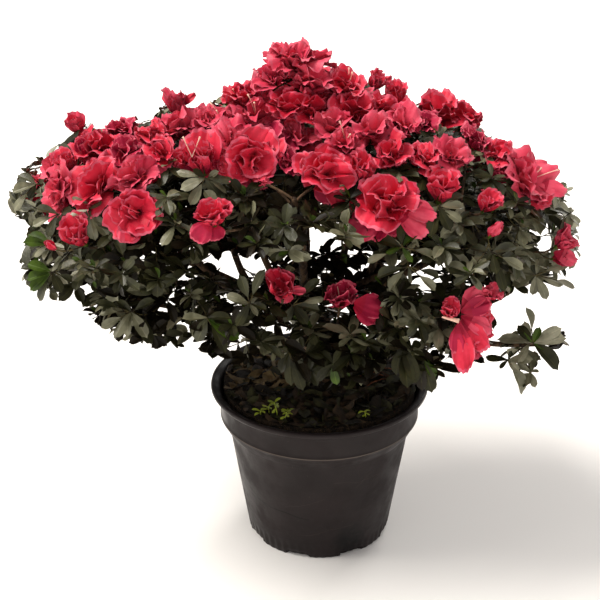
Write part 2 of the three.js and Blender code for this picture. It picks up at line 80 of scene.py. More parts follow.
# Shares of the trunk's lean to the side, its lean back, and its height
TRUNK_BENDS = ((0, 0, 0), (0.2, 0, 0.3), (0.6, 0.6, 0.7), (1, 1, 1))
BOUGH = Values(foot=4.8, tip=2.6)
SIDE_BOUGH = Values(foot=3.5, tip=2.3)
SWAY = 9
SPOT_STEP = 4

# The crown: one dome, and the rings of masses under it
DOME = Values(centre=(-21, 15, 322), reach=(236, 182, 92), bloom_edge=0.88, bloom_sides=0.1)
TOP = Values(at=(-24, 6, 372), reach=(76, 72, 78), apex=38, blooms=6, shoots=4)
OUTER = Values(centre=(-21, 12), radius=(178, 134), reach=74, over=6, spare=8, blooms=4, shoots=6)
OUTER_SIDES = ["right", "back_right", "back", "back_left", "left", "front_left", "front", "front_right"]
HANG = {"side": 226, "front": 332, "back": 250}
UPPER = Values(
    centre=(-21, 12), radius=(104, 76), reach=66, height=362, half=52, first=18, blooms=6, shoots=3,
)
# Each upper mass, and the limb that its bough leaves
UPPER_SIDES = {
    "right": "outer_right", "back": "outer_back", "left": "outer_left", "front_left": "outer_front",
    "front_right": "outer_front",
}
# The lower masses: name, middle, reach, the limb that its bough leaves, where it leaves it, and blooms
LOWER = (
    ("left", (-138, -42, 240), (60, 50, 40), "outer_left", 0.5, 0),
    ("front_left", (-60, -104, 264), (54, 46, 42), "outer_front", 0.24, 1),
    ("front", (12, -84, 238), (52, 44, 50), "trunk", 0.66, 1),
    ("front_right", (86, -98, 262), (54, 46, 58), "outer_right", 0.3, 1),
    ("right", (124, -40, 232), (42, 48, 42), "outer_right", 0.52, 2),
    ("sprig", (172, -82, 222), (36, 36, 42), "lower_right", 0.6, 0),
    ("back_left", (-84, 92, 272), (58, 50, 44), "outer_back_left", 0.4, 1),
    ("back_right", (72, 96, 270), (58, 50, 44), "outer_back_right", 0.4, 1),
)
LOWER_SHOOTS = 7
SPACE_GAP = 0.8
FORK_HEIGHT = SOIL_MIDDLE + 30
MOUTH = 0.72
LEAVES_AT = {"top": 1, "main": 0.86, "diagonal": 0.3, "upper": 0.22, "front_right": 0.3}
BEND = Values(foot=0.36, tip=0.34, along=0.9, out=0.75, taper=0.85)
STEM = Values(
    foot=2.5, tip=2, steps=3, bend=(0.35, 0.3), past=0.1, ways=12, stray=5, clear=3.5,
    checked=(0.25, 0.4, 0.55, 0.7, 0.85, 1), better=0.5,
)
TWIG = Values(
    foot=0.56, tip=0.8, finest=0.65, least=13, turning=1.7, margin=2, clear=3, bend=0.3, long=30, tries=6,
)
NODES = Values(early=0.42, middle=0.5, late=0.8)
BLOOM = Values(
    least=23, most=29, depth=0.95, heart=0.6, keep=0.9, tilt=0.9, steepest=0.25, widest=0.9, apart=46,
    sink=3, margin=8, clear=4,
)
SHOOT = Values(
    apart=38, from_bloom=33, margin=9, clear=5, lift=1.6, inner=0.42, band=0.5, lean=0.8, rise=0.55,
)
DARTS = Values(bloom=320, shoot=160, fine_bloom=520, fine=900)
FEW_DARTS = {"lower_sprig": 12}
SEEDS = Values(boughs=11, growth=101, leaves=601, fine=901, petals=7, litter=31)

# Finer growth than the source's, by the same rule
FINE_BLOOM = Values(apart=36, hidden=-0.06, behind=25, steps=14, step=4, more=4, edge=1.04, margin=2)
FINE = Values(
    apart=17.5, from_bloom=24, margin=4, clear=2, inner=0.34, band=0.64, least=9, patches=0.035, bare=-0.22,
)
FINE_TWIG = Values(finest=0.42, margin=1, clear=1.5)

# The camera, also used to lay what shows from the front where the photograph has it. The frame is 600 by
# 600, and MIDDLE is its middle.
EYE = np.array((-17.0, -1100.0, 748.0))
PITCH = math.radians(25.56)
FOCAL = 1429.3
MIDDLE = 300
AHEAD = np.array((0, math.cos(PITCH), -math.sin(PITCH)))
ABOVE = np.array((0, math.sin(PITCH), math.cos(PITCH)))
SIGHT = np.arange(650, 1650, 1.0)

# Blooms that show from the front: across and down the frame, width there, and form. Then, where given,
# the lean to the right and up in the frame, the colour, and millimetres further back. Where a bloom hangs
# in the crown's shade, its given deep or crimson red is painted shade.
SEEN_BLOOMS = [
    (54, 166, 33, "open", -0.5, 0.2, "rose"), (60, 190, 47, "open", -0.5, -0.2, "rose"),
    (76, 125, 22, "half", -0.1, 0.6), (84, 152, 17, "bud", 0, 0.4),
    (97, 148, 46, "open", -0.2, 0.2, "crimson"), (96, 182, 54, "open", -0.1, -0.1, "crimson"),
    (124, 130, 36, "open", 0, 0.5), (124, 154, 42, "open", 0, 0), (134, 178, 46, "open", 0, 0.1, "rose"),
    (132, 212, 50, "open", 0, -0.3, "crimson"), (78, 234, 34, "half", 0, 0.7, "crimson"),
    (53, 247, 12, "bud", -0.4, 0.6), (154, 136, 38, "open", 0.1, 0.2),
    (176, 104, 30, "half", 0.1, 0.8, "rose"), (178, 126, 42, "open", 0, 0.3), (161, 152, 34, "open", 0, 0),
    (202, 157, 44, "half", -0.1, 0.8, "crimson"), (213, 215, 35, "half", 0.1, 0.5, "crimson"),
    (222, 120, 44, "open", 0, 0.2), (243, 97, 38, "open", -0.1, 0.5, "crimson"),
    (206, 120, 36, "open", -0.2, 0.1), (272, 76, 38, "open", -0.3, 0.1, "rose"),
    (296, 58, 50, "open", 0.1, 0.5, "rose"), (309, 78, 48, "open", 0.2, 0, "rose"),
    (348, 86, 44, "open", 0.4, 0.6, "crimson"), (256, 114, 46, "open", 0, 0.1, "rose"),
    (286, 104, 44, "open", 0, 0.1, "crimson"), (313, 108, 42, "open", 0.1, 0),
    (232, 140, 44, "open", -0.1, 0), (252, 157, 52, "open", 0.1, -0.4, "crimson"),
    (270, 140, 44, "open", 0.1, 0.1), (296, 138, 46, "open", 0, 0.3),
    (326, 170, 54, "open", 0.1, -0.2, "crimson"), (330, 124, 40, "open", 0, 0.1),
    (352, 110, 46, "open", 0.1, 0.2), (346, 142, 44, "open", 0, 0), (361, 168, 32, "half", 0.2, 0.2),
    (386, 108, 44, "open", 0.1, 0.2), (372, 132, 42, "open", 0, 0), (404, 124, 44, "open", 0.1, 0.1),
    (392, 153, 44, "open", 0, 0), (389, 202, 58, "open", 0.1, 0.1, "crimson"),
    (394, 95, 30, "half", 0.1, 0.6), (441, 112, 48, "open", 0.1, 0.2, "crimson"),
    (466, 117, 34, "open", 0.4, 0.3), (425, 122, 30, "open", 0, 0), (478, 141, 34, "open", 0.3, 0.2),
    (498, 153, 34, "open", 0.4, 0.3), (424, 158, 32, "open", -0.2, 0), (452, 155, 38, "open", 0.1, 0.1),
    (443, 186, 44, "half", -0.1, 0.6, "crimson"), (488, 203, 26, "half", 0.1, 0.6, "crimson"),
    (494, 231, 20, "bud", 0.1, 0.7), (530, 179, 60, "open", 0.3, 0.1, "rose"),
    (564, 241, 24, "half", 0.4, 0.6), (560, 258, 18, "half", 0.9, -0.1), (490, 293, 22, "half", 0.4, 0.3),
    (449, 311, 22, "half", -0.1, 0.7), (480, 319, 34, "open", 2.5, 0.2), (470, 340, 32, "half", 1.6, -1),
    (281, 287, 32, "half", 0, 0.5, "crimson"), (340, 297, 36, "half", -0.1, 0.5, "deep"),
    (264, 182, 16, "bud", 0.2, -0.6), (68, 164, 26, "half", 0, 0.3),
    (288, 122, 34, "open", 0, 0.3, "crimson", 8), (288, 160, 30, "open", 0, 0, "deep", 10),
    (326, 92, 36, "open", 0.1, 0.2, "crimson", 10), (262, 94, 34, "open", 0, 0.2, "crimson", 12),
    (500, 174, 26, "half", 0, 0.2, "deep", 12), (182, 162, 24, "half", -0.4, -0.1, "crimson", 10),
    (224, 164, 24, "open", 0.2, -0.4, "crimson", 10), (376, 82, 24, "half", 0.8, 0.5, "crimson", 2),
    (316, 60, 30, "open", 0.5, 0.3, "rose", 6), (279, 56, 28, "open", -0.4, 0.4, "rose", 6),
    (236, 97, 30, "open", -0.4, 0.4, "crimson", 6), (84, 138, 26, "open", -0.4, 0.4, "crimson", 6),
    (340, 80, 28, "open", 0.1, 0.6, "rose", 8),
]
# How a seen bloom stands, in shares of its radius: how far its heart lies in from the crown's near side,
# and its foot under its heart. Its face lies over its heart.
STANCE = {"open": (0.45, 0.62), "half": (0.2, 0.85), "bud": (0.2, 0.9)}
FACE_RISE = 0.35
# An open bloom nods a little to the front. All are laid this much wider, because petals fall short.
NOD = 0.08
SEEN_GROWTH = 1.07
# Single petals that stand out of their bloom: foot and tip in the frame, width there, colour, and
# millimetres further back than the bloom's heart. Deep red on a petal that hangs in shade is painted shade.
SEEN_PETALS = [
    (384, 206, 346, 238, 38, "deep", 4), (374, 198, 350, 216, 34, "crimson", 6),
    (388, 210, 372, 240, 24, "deep", 6), (392, 210, 398, 236, 24, "deep", 8),
    (396, 206, 437, 214, 22, "rose", 2), (398, 210, 426, 236, 22, "rose", 4),
    (210, 222, 194, 241, 26, "deep", 2), (214, 224, 216, 241, 20, "deep", 4),
    (218, 214, 232, 204, 18, "crimson", 2), (354, 302, 386, 309, 28, "deep", -8),
    (354, 306, 380, 320, 28, "deep", -6), (288, 290, 306, 291, 12, "rose", 0),
    (284, 290, 284, 303, 20, "rose", 2), (326, 176, 345, 208, 24, "crimson", 2),
    (318, 178, 330, 204, 22, "deep", 4), (256, 166, 264, 189, 18, "rose", 2),
    (250, 168, 243, 186, 22, "deep", 2), (130, 220, 125, 243, 24, "rose", 2),
    (140, 208, 163, 206, 24, "rose", 0), (142, 214, 156, 226, 20, "crimson", 2),
    (538, 184, 567, 192, 18, "rose", 0), (534, 190, 548, 207, 26, "crimson", 2),
    (372, 88, 392, 76, 9, "crimson", 0), (182, 106, 195, 93, 9, "crimson", 0),
    (78, 130, 69, 114, 12, "crimson", 0), (554, 252, 577, 262, 18, "rose", -8),
    (68, 152, 70, 178, 16, "rose", 0), (460, 320, 487, 350, 22, "crimson", 2),
    (459, 322, 467, 373, 24, "crimson", 0), (458, 324, 457, 354, 20, "deep", 0),
    (461, 316, 492, 331, 20, "rose", 2), (461, 312, 492, 303, 20, "deep", -2),
    (462, 310, 484, 287, 20, "rose", 0), (204, 160, 214, 176, 26, "crimson", 4),
    (198, 162, 180, 168, 22, "deep", 6), (340, 182, 346, 212, 26, "rose", 4),
    (470, 300, 491, 312, 18, "crimson", 0),
]

# Leafy shoots that show from the front: across, down, how far back in millimetres from the crown's near
# side, colour, and lean to the right and up in the frame. The colour is a lit or shaded green: painted light
# and shade.
SEEN_SHOOTS = [
    (168, 164, 6, "grey", -0.5, 0.2), (425, 170, 10, "mid", 0, 0.2), (398, 170, 8, "grey", -0.4, 0.2),
    (438, 134, 4, "grey", -0.5, 0.3), (464, 134, 4, "dark", 0.3, 0.4), (486, 152, 4, "grey", 0.2, 0.2),
    (492, 176, 6, "mid", -0.1, 0.1), (510, 176, 12, "grey", 0.1, 0.2), (556, 190, 4, "grey", 0.9, 0.1),
    (540, 218, 6, "grey", 0.4, -0.3), (350, 198, 10, "dark", 0.3, 0.2), (312, 222, 8, "dark", 0.2, 0),
    (244, 196, 12, "dark", 0.3, 0), (96, 288, 4, "dark", 0, -0.2), (268, 300, 8, "dark", 0, 0.1),
    (232, 324, 8, "dark", -0.1, 0), (400, 298, 6, "grey", 0.1, 0), (420, 320, 6, "grey", 0.2, -0.2),
    (306, 352, 4, "dark", 0.1, -0.6), (412, 350, 4, "mid", 0.4, -0.5), (352, 352, 10, "dark", 0.2, -0.3),
    (366, 340, 6, "mid", 0, -0.3), (430, 366, 6, "dark", 0.6, -0.7), (188, 322, 4, "dark", -0.3, -0.6),
    (74, 128, 6, "mid", -0.3, 0.6), (58, 144, 10, "grey", -1, 0.1), (86, 124, 8, "dark", 0.4, 0.6),
]
SEEN_SHOOT = Values(inward=4, out=0.6, front=0.3, spin=137.5)
# Shoots whose own leaves show: across, down, how far back, and each leaf's tip and colour. The colours are
# lit and shaded greens: painted light and shade. The young green of the leaves at the far left is painted
# light, for leaves lit through from behind.
SEEN_WHORLS = [
    (402, 247, 0, [(400, 223, "dark"), (419, 230, "young"), (385, 252, "young"), (439, 256, "grey"),
        (367, 263, "grey"), (374, 237, "dark"), (413, 262, "young")]),
    (408, 266, 3, [(440, 277, "mid"), (436, 290, "grey"), (376, 276, "mid"), (414, 284, "mid"),
        (388, 290, "grey")]),
    (533, 343, 2, [(498, 335, "pale"), (518, 325, "dark"), (530, 307, "grey"), (560, 327, "pale"),
        (565, 336, "pale"), (547, 348, "young"), (561, 366, "dark"), (525, 331, "young"),
        (540, 327, "young")]),
    (508, 360, 4, [(485, 355, "dark"), (528, 393, "grey"), (499, 368, "dark"), (532, 357, "pale"),
        (512, 350, "mid")]),
    (536, 275, 2, [(567, 263, "pale"), (565, 283, "pale"), (577, 285, "pale"), (533, 297, "grey"),
        (548, 300, "grey"), (511, 284, "grey"), (541, 255, "grey"), (528, 261, "mid"),
        (520, 270, "grey")]),
    (492, 252, 2, [(524, 269, "grey"), (506, 291, "dark"), (479, 268, "dark"), (516, 244, "mid"),
        (470, 247, "mid"), (497, 275, "dark")]),
    (438, 206, 4, [(464, 206, "grey"), (462, 222, "grey"), (451, 231, "dark"), (430, 237, "dark"),
        (464, 194, "mid"), (424, 202, "dark")]),
    (205, 178, 4, [(180, 187, "grey"), (228, 191, "grey"), (190, 205, "grey"), (234, 178, "mid"),
        (176, 170, "grey"), (222, 199, "mid"), (194, 168, "dark")]),
    (36, 184, 2, [(12, 191, "grey"), (12, 209, "grey"), (18, 172, "mid"), (28, 199, "dark")]),
    (58, 214, 2, [(32, 226, "grey"), (45, 236, "mid"), (36, 207, "mid"), (70, 230, "grey")]),
    (50, 244, 4, [(23, 242, "young"), (28, 231, "young"), (31, 256, "grey"), (66, 250, "grey")]),
    (52, 272, 4, [(27, 263, "young"), (25, 279, "young"), (36, 302, "mid"), (29, 291, "young"),
        (82, 262, "grey"), (78, 281, "mid"), (62, 292, "dark"), (60, 257, "grey")]),
    (88, 210, 3, [(101, 200, "grey"), (99, 222, "grey"), (94, 241, "grey"), (109, 236, "grey"),
        (70, 213, "grey"), (84, 228, "mid")]),
    (131, 312, 2, [(112, 337, "grey"), (124, 336, "grey"), (148, 337, "grey"), (98, 312, "grey"),
        (101, 328, "grey"), (118, 299, "mid"), (155, 299, "mid"), (157, 341, "dark"), (96, 300, "mid")]),
    (250, 303, 4, [(227, 293, "grey"), (262, 268, "mid"), (240, 275, "mid"), (236, 326, "dark"),
        (268, 310, "dark")]),
    (293, 305, 4, [(320, 309, "mid"), (318, 277, "mid"), (324, 297, "grey"), (285, 323, "dark"),
        (308, 325, "dark")]),
    (289, 352, 6, [(291, 388, "dark"), (275, 350, "dark"), (266, 344, "mid"), (308, 362, "dark"),
        (278, 372, "dark"), (303, 391, "dark"), (313, 380, "shade")]),
    (333, 364, 4, [(336, 387, "young"), (314, 381, "dark"), (347, 376, "dark"), (320, 350, "dark"),
        (340, 348, "dark")]),
    (402, 346, 6, [(418, 380, "dark"), (394, 374, "dark"), (376, 338, "grey"), (424, 352, "grey"),
        (408, 388, "dark")]),
    (424, 361, 6, [(431, 394, "dark"), (419, 392, "shade"), (438, 379, "young"), (428, 380, "shade"),
        (411, 384, "dark")]),
    (207, 318, 4, [(198, 333, "mid"), (228, 351, "dark"), (196, 345, "mid"), (240, 339, "young"),
        (181, 318, "grey"), (230, 314, "dark")]),
]
# Small sprays on the boughs, inside the crown, as they show through its windows
SEEN_SPRAYS = [
    (285, 245), (276, 262), (292, 270), (300, 252), (346, 264), (360, 250), (375, 262), (365, 280),
    (350, 284), (335, 275), (320, 270), (326, 262), (300, 286), (278, 282), (250, 244), (262, 246),
    (238, 244), (205, 276), (206, 242), (382, 240), (370, 240), (345, 232), (294, 236), (280, 232),
    (240, 284), (256, 274), (218, 284), (310, 262), (196, 262), (214, 236), (330, 252), (322, 254),
    (342, 254), (268, 240), (222, 240), (384, 280),
]
SPRAY = Values(apart=16, off_trunk=100, rise=0.5, bend=(0.4, 0.35), foot=0.8, tip=0.5)

# Where the photograph shows sky through the crown: middle and half sizes in the frame
SKY = [
    (235, 264, 10, 12), (252, 267, 9, 5), (266, 268, 7, 10), (313, 247, 9, 7), (314, 233, 9, 6),
    (328, 236, 5, 6), (336, 245, 5, 5), (305, 245, 3, 5), (354, 251, 4, 4), (310, 288, 4, 4),
    (214, 260, 4, 6), (225, 256, 4, 6), (210, 271, 4, 5), (198, 315, 6, 5), (184, 326, 7, 4),
    (164, 307, 5, 5), (173, 300, 4, 6), (143, 255, 6, 4), (87, 288, 7, 6), (49, 222, 8, 5), (32, 198, 8, 5),
    (547, 240, 7, 10), (535, 230, 4, 4), (519, 353, 4, 4), (512, 355, 4, 3), (428, 351, 4, 4),
    (515, 295, 5, 8), (238, 345, 13, 7), (206, 336, 4, 4), (66, 277, 4, 4), (92, 276, 4, 4),
    (505, 312, 15, 20), (504, 336, 10, 10), (484, 353, 6, 5), (219, 317, 4, 4), (178, 251, 4, 3),
    (552, 316, 12, 10), (264, 215, 3, 3), (455, 268, 3, 3), (135, 270, 4, 3), (188, 262, 4, 4),
]
# The edge of the crown in the frame, all the way round
EDGE = np.array([
    (10, 190), (24, 168), (40, 149), (66, 138), (72, 114), (86, 124), (112, 130), (124, 115), (138, 123),
    (156, 117), (163, 97), (186, 94), (192, 106), (206, 106), (224, 88), (254, 83), (258, 63), (276, 40),
    (300, 38), (316, 45), (328, 66), (372, 77), (396, 89), (412, 101), (444, 96), (473, 106), (479, 127),
    (503, 143), (516, 152), (534, 147), (546, 163), (556, 177), (575, 184), (570, 200), (580, 225),
    (580, 286), (548, 303), (540, 318), (570, 334), (566, 352), (542, 360), (532, 398), (504, 376),
    (470, 378), (436, 390), (350, 396), (290, 396), (222, 362), (198, 350), (126, 344), (97, 324),
    (62, 300), (36, 305), (18, 282), (24, 240), (34, 224), (10, 216),
], float)

# Where the photograph shows blossom on the crown's top
BLOSSOM = np.array([
    (40, 160), (66, 128), (120, 116), (160, 96), (190, 94), (225, 82), (258, 60), (280, 38), (310, 40),
    (328, 66), (400, 88), (470, 106), (500, 142), (550, 156), (560, 190), (520, 196), (490, 165),
    (440, 150), (400, 180), (250, 180), (160, 160), (60, 210),
], float)


def vec(x, y, z):
    return np.array((x, y, z), float)


def unit(v):
    return v / np.linalg.norm(v)


def lerp(a, b, t):
    return a + (b - a) * t


# Seeded draws from 0 to 1, the same as the source's
def seeded_draws(seed):
    state = seed

    def draw():
        nonlocal state
        state = (state * 1664525 + 1013904223) % 4294967296
        return state / 4294967296

    return draw


# Curves: each is a function of a share or of an array of shares
def bezier(a, b, c, d):
    def at(t):
        t = np.asarray(t, float)[..., None]
        s = 1 - t
        return s**3 * a + 3 * s * s * t * b + 3 * s * t * t * c + t**3 * d

    return at


def straight(a, b):
    return lambda t: a + (b - a) * np.asarray(t, float)[..., None]


def through(points):
    ends = [2 * points[0] - points[1], *points, 2 * points[-1] - points[-2]]

    def place_at(share):
        along = share * (len(points) - 1)
        span = min(int(along), len(points) - 2)
        p0, p1, p2, p3 = ends[span : span + 4]
        d0, d1, d2 = (np.linalg.norm(b - a) ** 0.5 for a, b in ((p0, p1), (p1, p2), (p2, p3)))
        leaving = ((p1 - p0) / d0 - (p2 - p0) / (d0 + d1) + (p2 - p1) / d1) * d1
        arriving = ((p2 - p1) / d1 - (p3 - p1) / (d1 + d2) + (p3 - p2) / d2) * d1
        x = along - span
        square = 3 * (p2 - p1) - 2 * leaving - arriving
        cube = 2 * (p1 - p2) + leaving + arriving
        return p1 + leaving * x + square * x * x + cube * x**3

    def at(t):
        shares = np.asarray(t, float)
        return np.array([place_at(share) for share in shares.ravel()]).reshape((*shares.shape, 3))

    return at


def tangent(curve, t):
    return unit(curve(min(1, t + 1e-4)) - curve(max(0, t - 1e-4)))


def length_of(curve):
    return np.linalg.norm(np.diff(curve(np.linspace(0, 1, 201)), axis=0), axis=1).sum()


# Limbs: each has a curve and a radius along it
def trunk_limb():
    foot = SOIL_MIDDLE + GAP
    lean_x, lean_y = TRUNK.lean
    curve = through([vec(x * lean_x, y * lean_y, foot + z * TRUNK.height) for x, y, z in TRUNK_BENDS])

    def radius_at(t):
        flare = (TRUNK.foot - TRUNK.waist) * np.maximum(0, 1 - TRUNK.flare * t) ** 2
        return flare + lerp(TRUNK.waist, TRUNK.top, t)

    return Values(curve=curve, radius_at=radius_at)


def bough_limb(parent, mass, size, draw):
    start = parent.curve(mass.leaves_at)
    to_tip = mass.mouth - start
    length = np.linalg.norm(to_tip)
    out = unit(to_tip * (1, 1, 0))
    way = unit(BEND.along * tangent(parent.curve, mass.leaves_at) + BEND.out * out)
    sway = SWAY * vec(draw() - 0.5, draw() - 0.5, draw() - 0.5)
    curve = bezier(
        start,
        start + BEND.foot * length * way + sway,
        mass.mouth - BEND.tip * length * mass.heading - sway,
        mass.mouth,
    )
    return Values(
        curve=curve, radius_at=lambda t: lerp(size.foot, size.tip, t ** BEND.taper)
    )


# Masses of foliage, as the source plans them
def dome_plan(points):
    across = (points[..., 0] - DOME.centre[0]) / DOME.reach[0]
    deep = (points[..., 1] - DOME.centre[1]) / DOME.reach[1]
    return across, np.hypot(across, deep)


def dome_top(points):
    out = dome_plan(points)[1]
    return DOME.centre[2] + DOME.reach[2] * np.sqrt(np.maximum(0, 1 - out * out))


def dome_normal(place):
    slope = (place - DOME.centre) / np.square(DOME.reach)
    slope[2] = max(BLOOM.steepest / DOME.reach[2], slope[2])
    return unit(slope)


def ring_place(ring, angle):
    turn = math.radians(angle)
    return [c + r * f(turn) for c, r, f in zip(ring.centre, ring.radius, (math.cos, math.sin))]


def planned_mass(name, at, reach, parent, leaves_at, blooms, shoots, apex=0):
    return Values(
        name=name, middle=vec(*at), reach=vec(*reach), parent=parent, leaves_at=leaves_at, apex=apex,
        blooms=blooms, shoots=shoots,
    )


def outer_mass(n, side):
    angle = 360 * n / len(OUTER_SIDES)
    x, y = ring_place(OUTER, angle)
    deep = math.sin(math.radians(angle))
    under = HANG["side"] + (HANG["front" if deep < 0 else "back"] - HANG["side"]) * deep * deep
    half = (dome_top(vec(x, y, 0)) + OUTER.over - under) / 2
    main = n % 2 == 0
    parent = "trunk" if main else "outer_" + OUTER_SIDES[n - 1]
    reach = (OUTER.reach, OUTER.reach, half + OUTER.spare)
    leaves_at = LEAVES_AT["main" if main else "diagonal"]
    return planned_mass(
        "outer_" + side, (x, y, under + half), reach, parent, leaves_at, OUTER.blooms, OUTER.shoots
    )


def upper_mass(n, side):
    x, y = ring_place(UPPER, UPPER.first + 360 * n / len(UPPER_SIDES))
    reach = (UPPER.reach, UPPER.reach, UPPER.half)
    leaves_at = LEAVES_AT.get(side, LEAVES_AT["upper"])
    return planned_mass(
        "upper_" + side, (x, y, UPPER.height), reach, UPPER_SIDES[side], leaves_at, UPPER.blooms,
        UPPER.shoots,
    )


def crown_plan():
    top = planned_mass(
        "top", TOP.at, TOP.reach, "trunk", LEAVES_AT["top"], TOP.blooms, TOP.shoots, TOP.apex
    )
    outer = [outer_mass(n, side) for n, side in enumerate(OUTER_SIDES)]
    upper = [upper_mass(n, side) for n, side in enumerate(UPPER_SIDES)]
    lower = [
        planned_mass("lower_" + name, at, reach, parent, leaves_at, blooms, LOWER_SHOOTS)
        for name, at, reach, parent, leaves_at, blooms in LOWER
    ]
    return [top, *outer, *upper, *lower]


def support(reach, way):
    return 1 / np.linalg.norm(way / reach)


def place_mouths(masses):
    for mass in masses:
        mass.heading = unit(mass.middle - vec(0, 0, FORK_HEIGHT))
        mass.mouth = mass.middle - MOUTH * support(mass.reach, mass.heading) * mass.heading


# A plane between each mass and each neighbour that it would meet
def give_spaces(masses):
    for mass in masses:
        ways, limits = [], []
        for other in masses:
            apart = np.linalg.norm(other.middle - mass.middle)
            if other is mass:
                continue
            way = (other.middle - mass.middle) / apart
            own, theirs = support(mass.reach, way), support(other.reach, way)
            if own + theirs >= apart:
                ways.append(way)
                limits.append(apart * own / (own + theirs) - SPACE_GAP / 2)
        mass.ways, mass.limits = np.array(ways).T, np.array(limits)


def inside_planes(mass, points, margin):
    return ((points - mass.middle) @ mass.ways < mass.limits - margin).all(axis=-1)


# Inside the mass's own reach and under the dome, whatever its neighbours
def inside_reach(mass, points, margin):
    out = np.linalg.norm((points - mass.middle) / (mass.reach - margin), axis=-1)
    return (out <= 1) & (points[..., 2] <= dome_top(points) + mass.apex - margin)


def in_space(mass, points, margin):
    return inside_reach(mass, points, margin) & inside_planes(mass, points, margin)


def grow_limbs(masses):
    draw = seeded_draws(SEEDS.boughs)
    limbs = {"trunk": trunk_limb()}
    for main in (True, False):
        for mass in masses:
            if (mass.parent == "trunk") == main:
                size = BOUGH if main else SIDE_BOUGH
                limbs[mass.name] = bough_limb(limbs[mass.parent], mass, size, draw)
    return limbs


def spots_of(limb):
    shares = np.linspace(0, 1, math.ceil(length_of(limb.curve) / SPOT_STEP) + 1)
    return limb.curve(shares), limb.radius_at(shares)


masses = crown_plan()
place_mouths(masses)
give_spaces(masses)
limbs = grow_limbs(masses)
wood_places, wood_radii = (np.concatenate(x) for x in zip(*(spots_of(limb) for limb in limbs.values())))


def nearest_wood(points):
    apart = np.linalg.norm(points[..., None, :] - wood_places, axis=-1) - wood_radii
    return apart.min(axis=-1)


# Places in the frame, and back
def in_frame(points):
    off = points - EYE
    depth = off @ AHEAD
    return MIDDLE + FOCAL * off[..., 0] / depth, MIDDLE - FOCAL * (off @ ABOVE) / depth


def ray(across, down):
    return unit(AHEAD + vec((across - MIDDLE) / FOCAL, 0, 0) - (down - MIDDLE) / FOCAL * ABOVE)


def depth_of(place):
    return (place - EYE) @ AHEAD


def at_depth(spot, depth):
    line = ray(*spot)
    return EYE + line * depth / (line @ AHEAD)


# The places along a line of sight, and whether each is inside the crown
def sight_line(way):
    line = EYE + SIGHT[:, None] * way
    return line, np.any([inside_reach(mass, line, 0) for mass in masses], axis=0)


def in_sky(points):
    across, down = in_frame(points)
    return np.any(
        [np.hypot((across - x) / half_x, (down - y) / half_y) < 1 for x, y, half_x, half_y in SKY], axis=0
    )


# True inside an outline in the frame: an even-odd count of the edges to the right of each point
def inside_outline(points, outline):
    across, down = (x[..., None] for x in in_frame(points))
    x0, y0 = outline.T
    x1, y1 = np.roll(outline, -1, axis=0).T
    spans = (y0 > down) != (y1 > down)
    crossing = x0 + (down - y0) * (x1 - x0) / np.where(y1 == y0, 1, y1 - y0)
    return (spans & (across < crossing)).sum(axis=-1) % 2 == 1


# A bloom of the front: its heart is laid just inside the crown along the line of sight
def seen_bloom(across, down, wide, form, right=0.0, up=0.0, colour=None, back=0.0):
    way = ray(across, down)
    line, inside = sight_line(way)
    nearest = inside.argmax() if inside.any() else np.abs(line[:, 1] - DOME.centre[1]).argmin()
    radius = 0.5 * SEEN_GROWTH * wide * depth_of(line[nearest]) / FOCAL
    inward, deep = STANCE[form]
    heart = line[nearest] + (back + inward * radius) * way
    axis = unit(dome_normal(heart) + vec(right, 0, 0) + up * ABOVE)
    if form == "open":
        axis = unit(axis - NOD * way)
    return Values(
        heart=heart, foot=heart - deep * radius * axis, axis=axis, radius=radius, form=form,
        face=heart + FACE_RISE * radius * axis, seen=True, colour=colour,
    )


def new_shoot(tip, axis, spin, colour=None, tips=()):
    return Values(tip=tip, axis=axis, spin=spin, colour=colour, tips=tips)


# A leafy shoot of the front, laid along the line of sight in the same way, or None where the crown is bare
def seen_shoot(across, down, back, colour=None, right=0.0, up=0.0, tips=()):
    way = ray(across, down)
    line, inside = sight_line(way)
    if not inside.any():
        return None
    tip = line[inside.argmax()] + (back + SEEN_SHOOT.inward) * way
    out = SEEN_SHOOT.out * dome_normal(tip) - SEEN_SHOOT.front * way
    axis = unit(out + vec(right, 0, 0) + up * ABOVE)
    return new_shoot(tip, axis, SEEN_SHOOT.spin * (across + down), colour, tips)


# A spray on the bough that passes nearest to a line of sight
def bough_spray(across, down):
    way = ray(across, down)
    on_line = EYE + ((wood_places - EYE) @ way)[:, None] * way
    apart = np.linalg.norm(wood_places - on_line, axis=1)
    low = wood_places[:, 2] < FORK_HEIGHT
    n = np.argmin(np.abs(apart - SPRAY.apart) + SPRAY.off_trunk * low)
    foot, tip = wood_places[n], on_line[n]
    length = np.linalg.norm(tip - foot)
    axis = unit(tip - foot + vec(0, 0, SPRAY.rise * length))
    foot_bend, tip_bend = SPRAY.bend
    curve = bezier(foot, foot + foot_bend * (tip - foot), tip - tip_bend * length * axis, tip)
    twig = Values(curve=curve, foot=SPRAY.foot, tip=SPRAY.tip)
    return twig, new_shoot(tip, axis, SEEN_SHOOT.spin * (across + down), "shade")


def bloom_dart(mass, dart, draw):
    turn = draw() * 2 * math.pi
    out = BLOOM.widest * math.sqrt(draw()) * min(1, dart)
    radius = lerp(BLOOM.least, BLOOM.most, draw())
    tilt = (draw() - 0.5, draw() - 0.5)
    # The source draws the bloom's spin here, which the petals draw for themselves
    draw()
    x = mass.middle[0] + mass.reach[0] * out * math.cos(turn)
    y = mass.middle[1] + mass.reach[1] * out * math.sin(turn)
    own = mass.middle[2] + mass.reach[2] * math.sqrt(max(0, 1 - out * out))
    face = vec(x, y, min(own, dome_top(vec(x, y, 0)) + mass.apex) - BLOOM.sink)
    axis = unit(dome_normal(face) + vec(BLOOM.tilt * tilt[0], BLOOM.tilt * tilt[1], 0))
    foot = face - radius * BLOOM.depth * axis
    heart = foot + BLOOM.heart * radius * axis
    return Values(
        heart=heart, foot=foot, axis=axis, radius=radius, form="open", face=face, seen=False, colour=None
    )


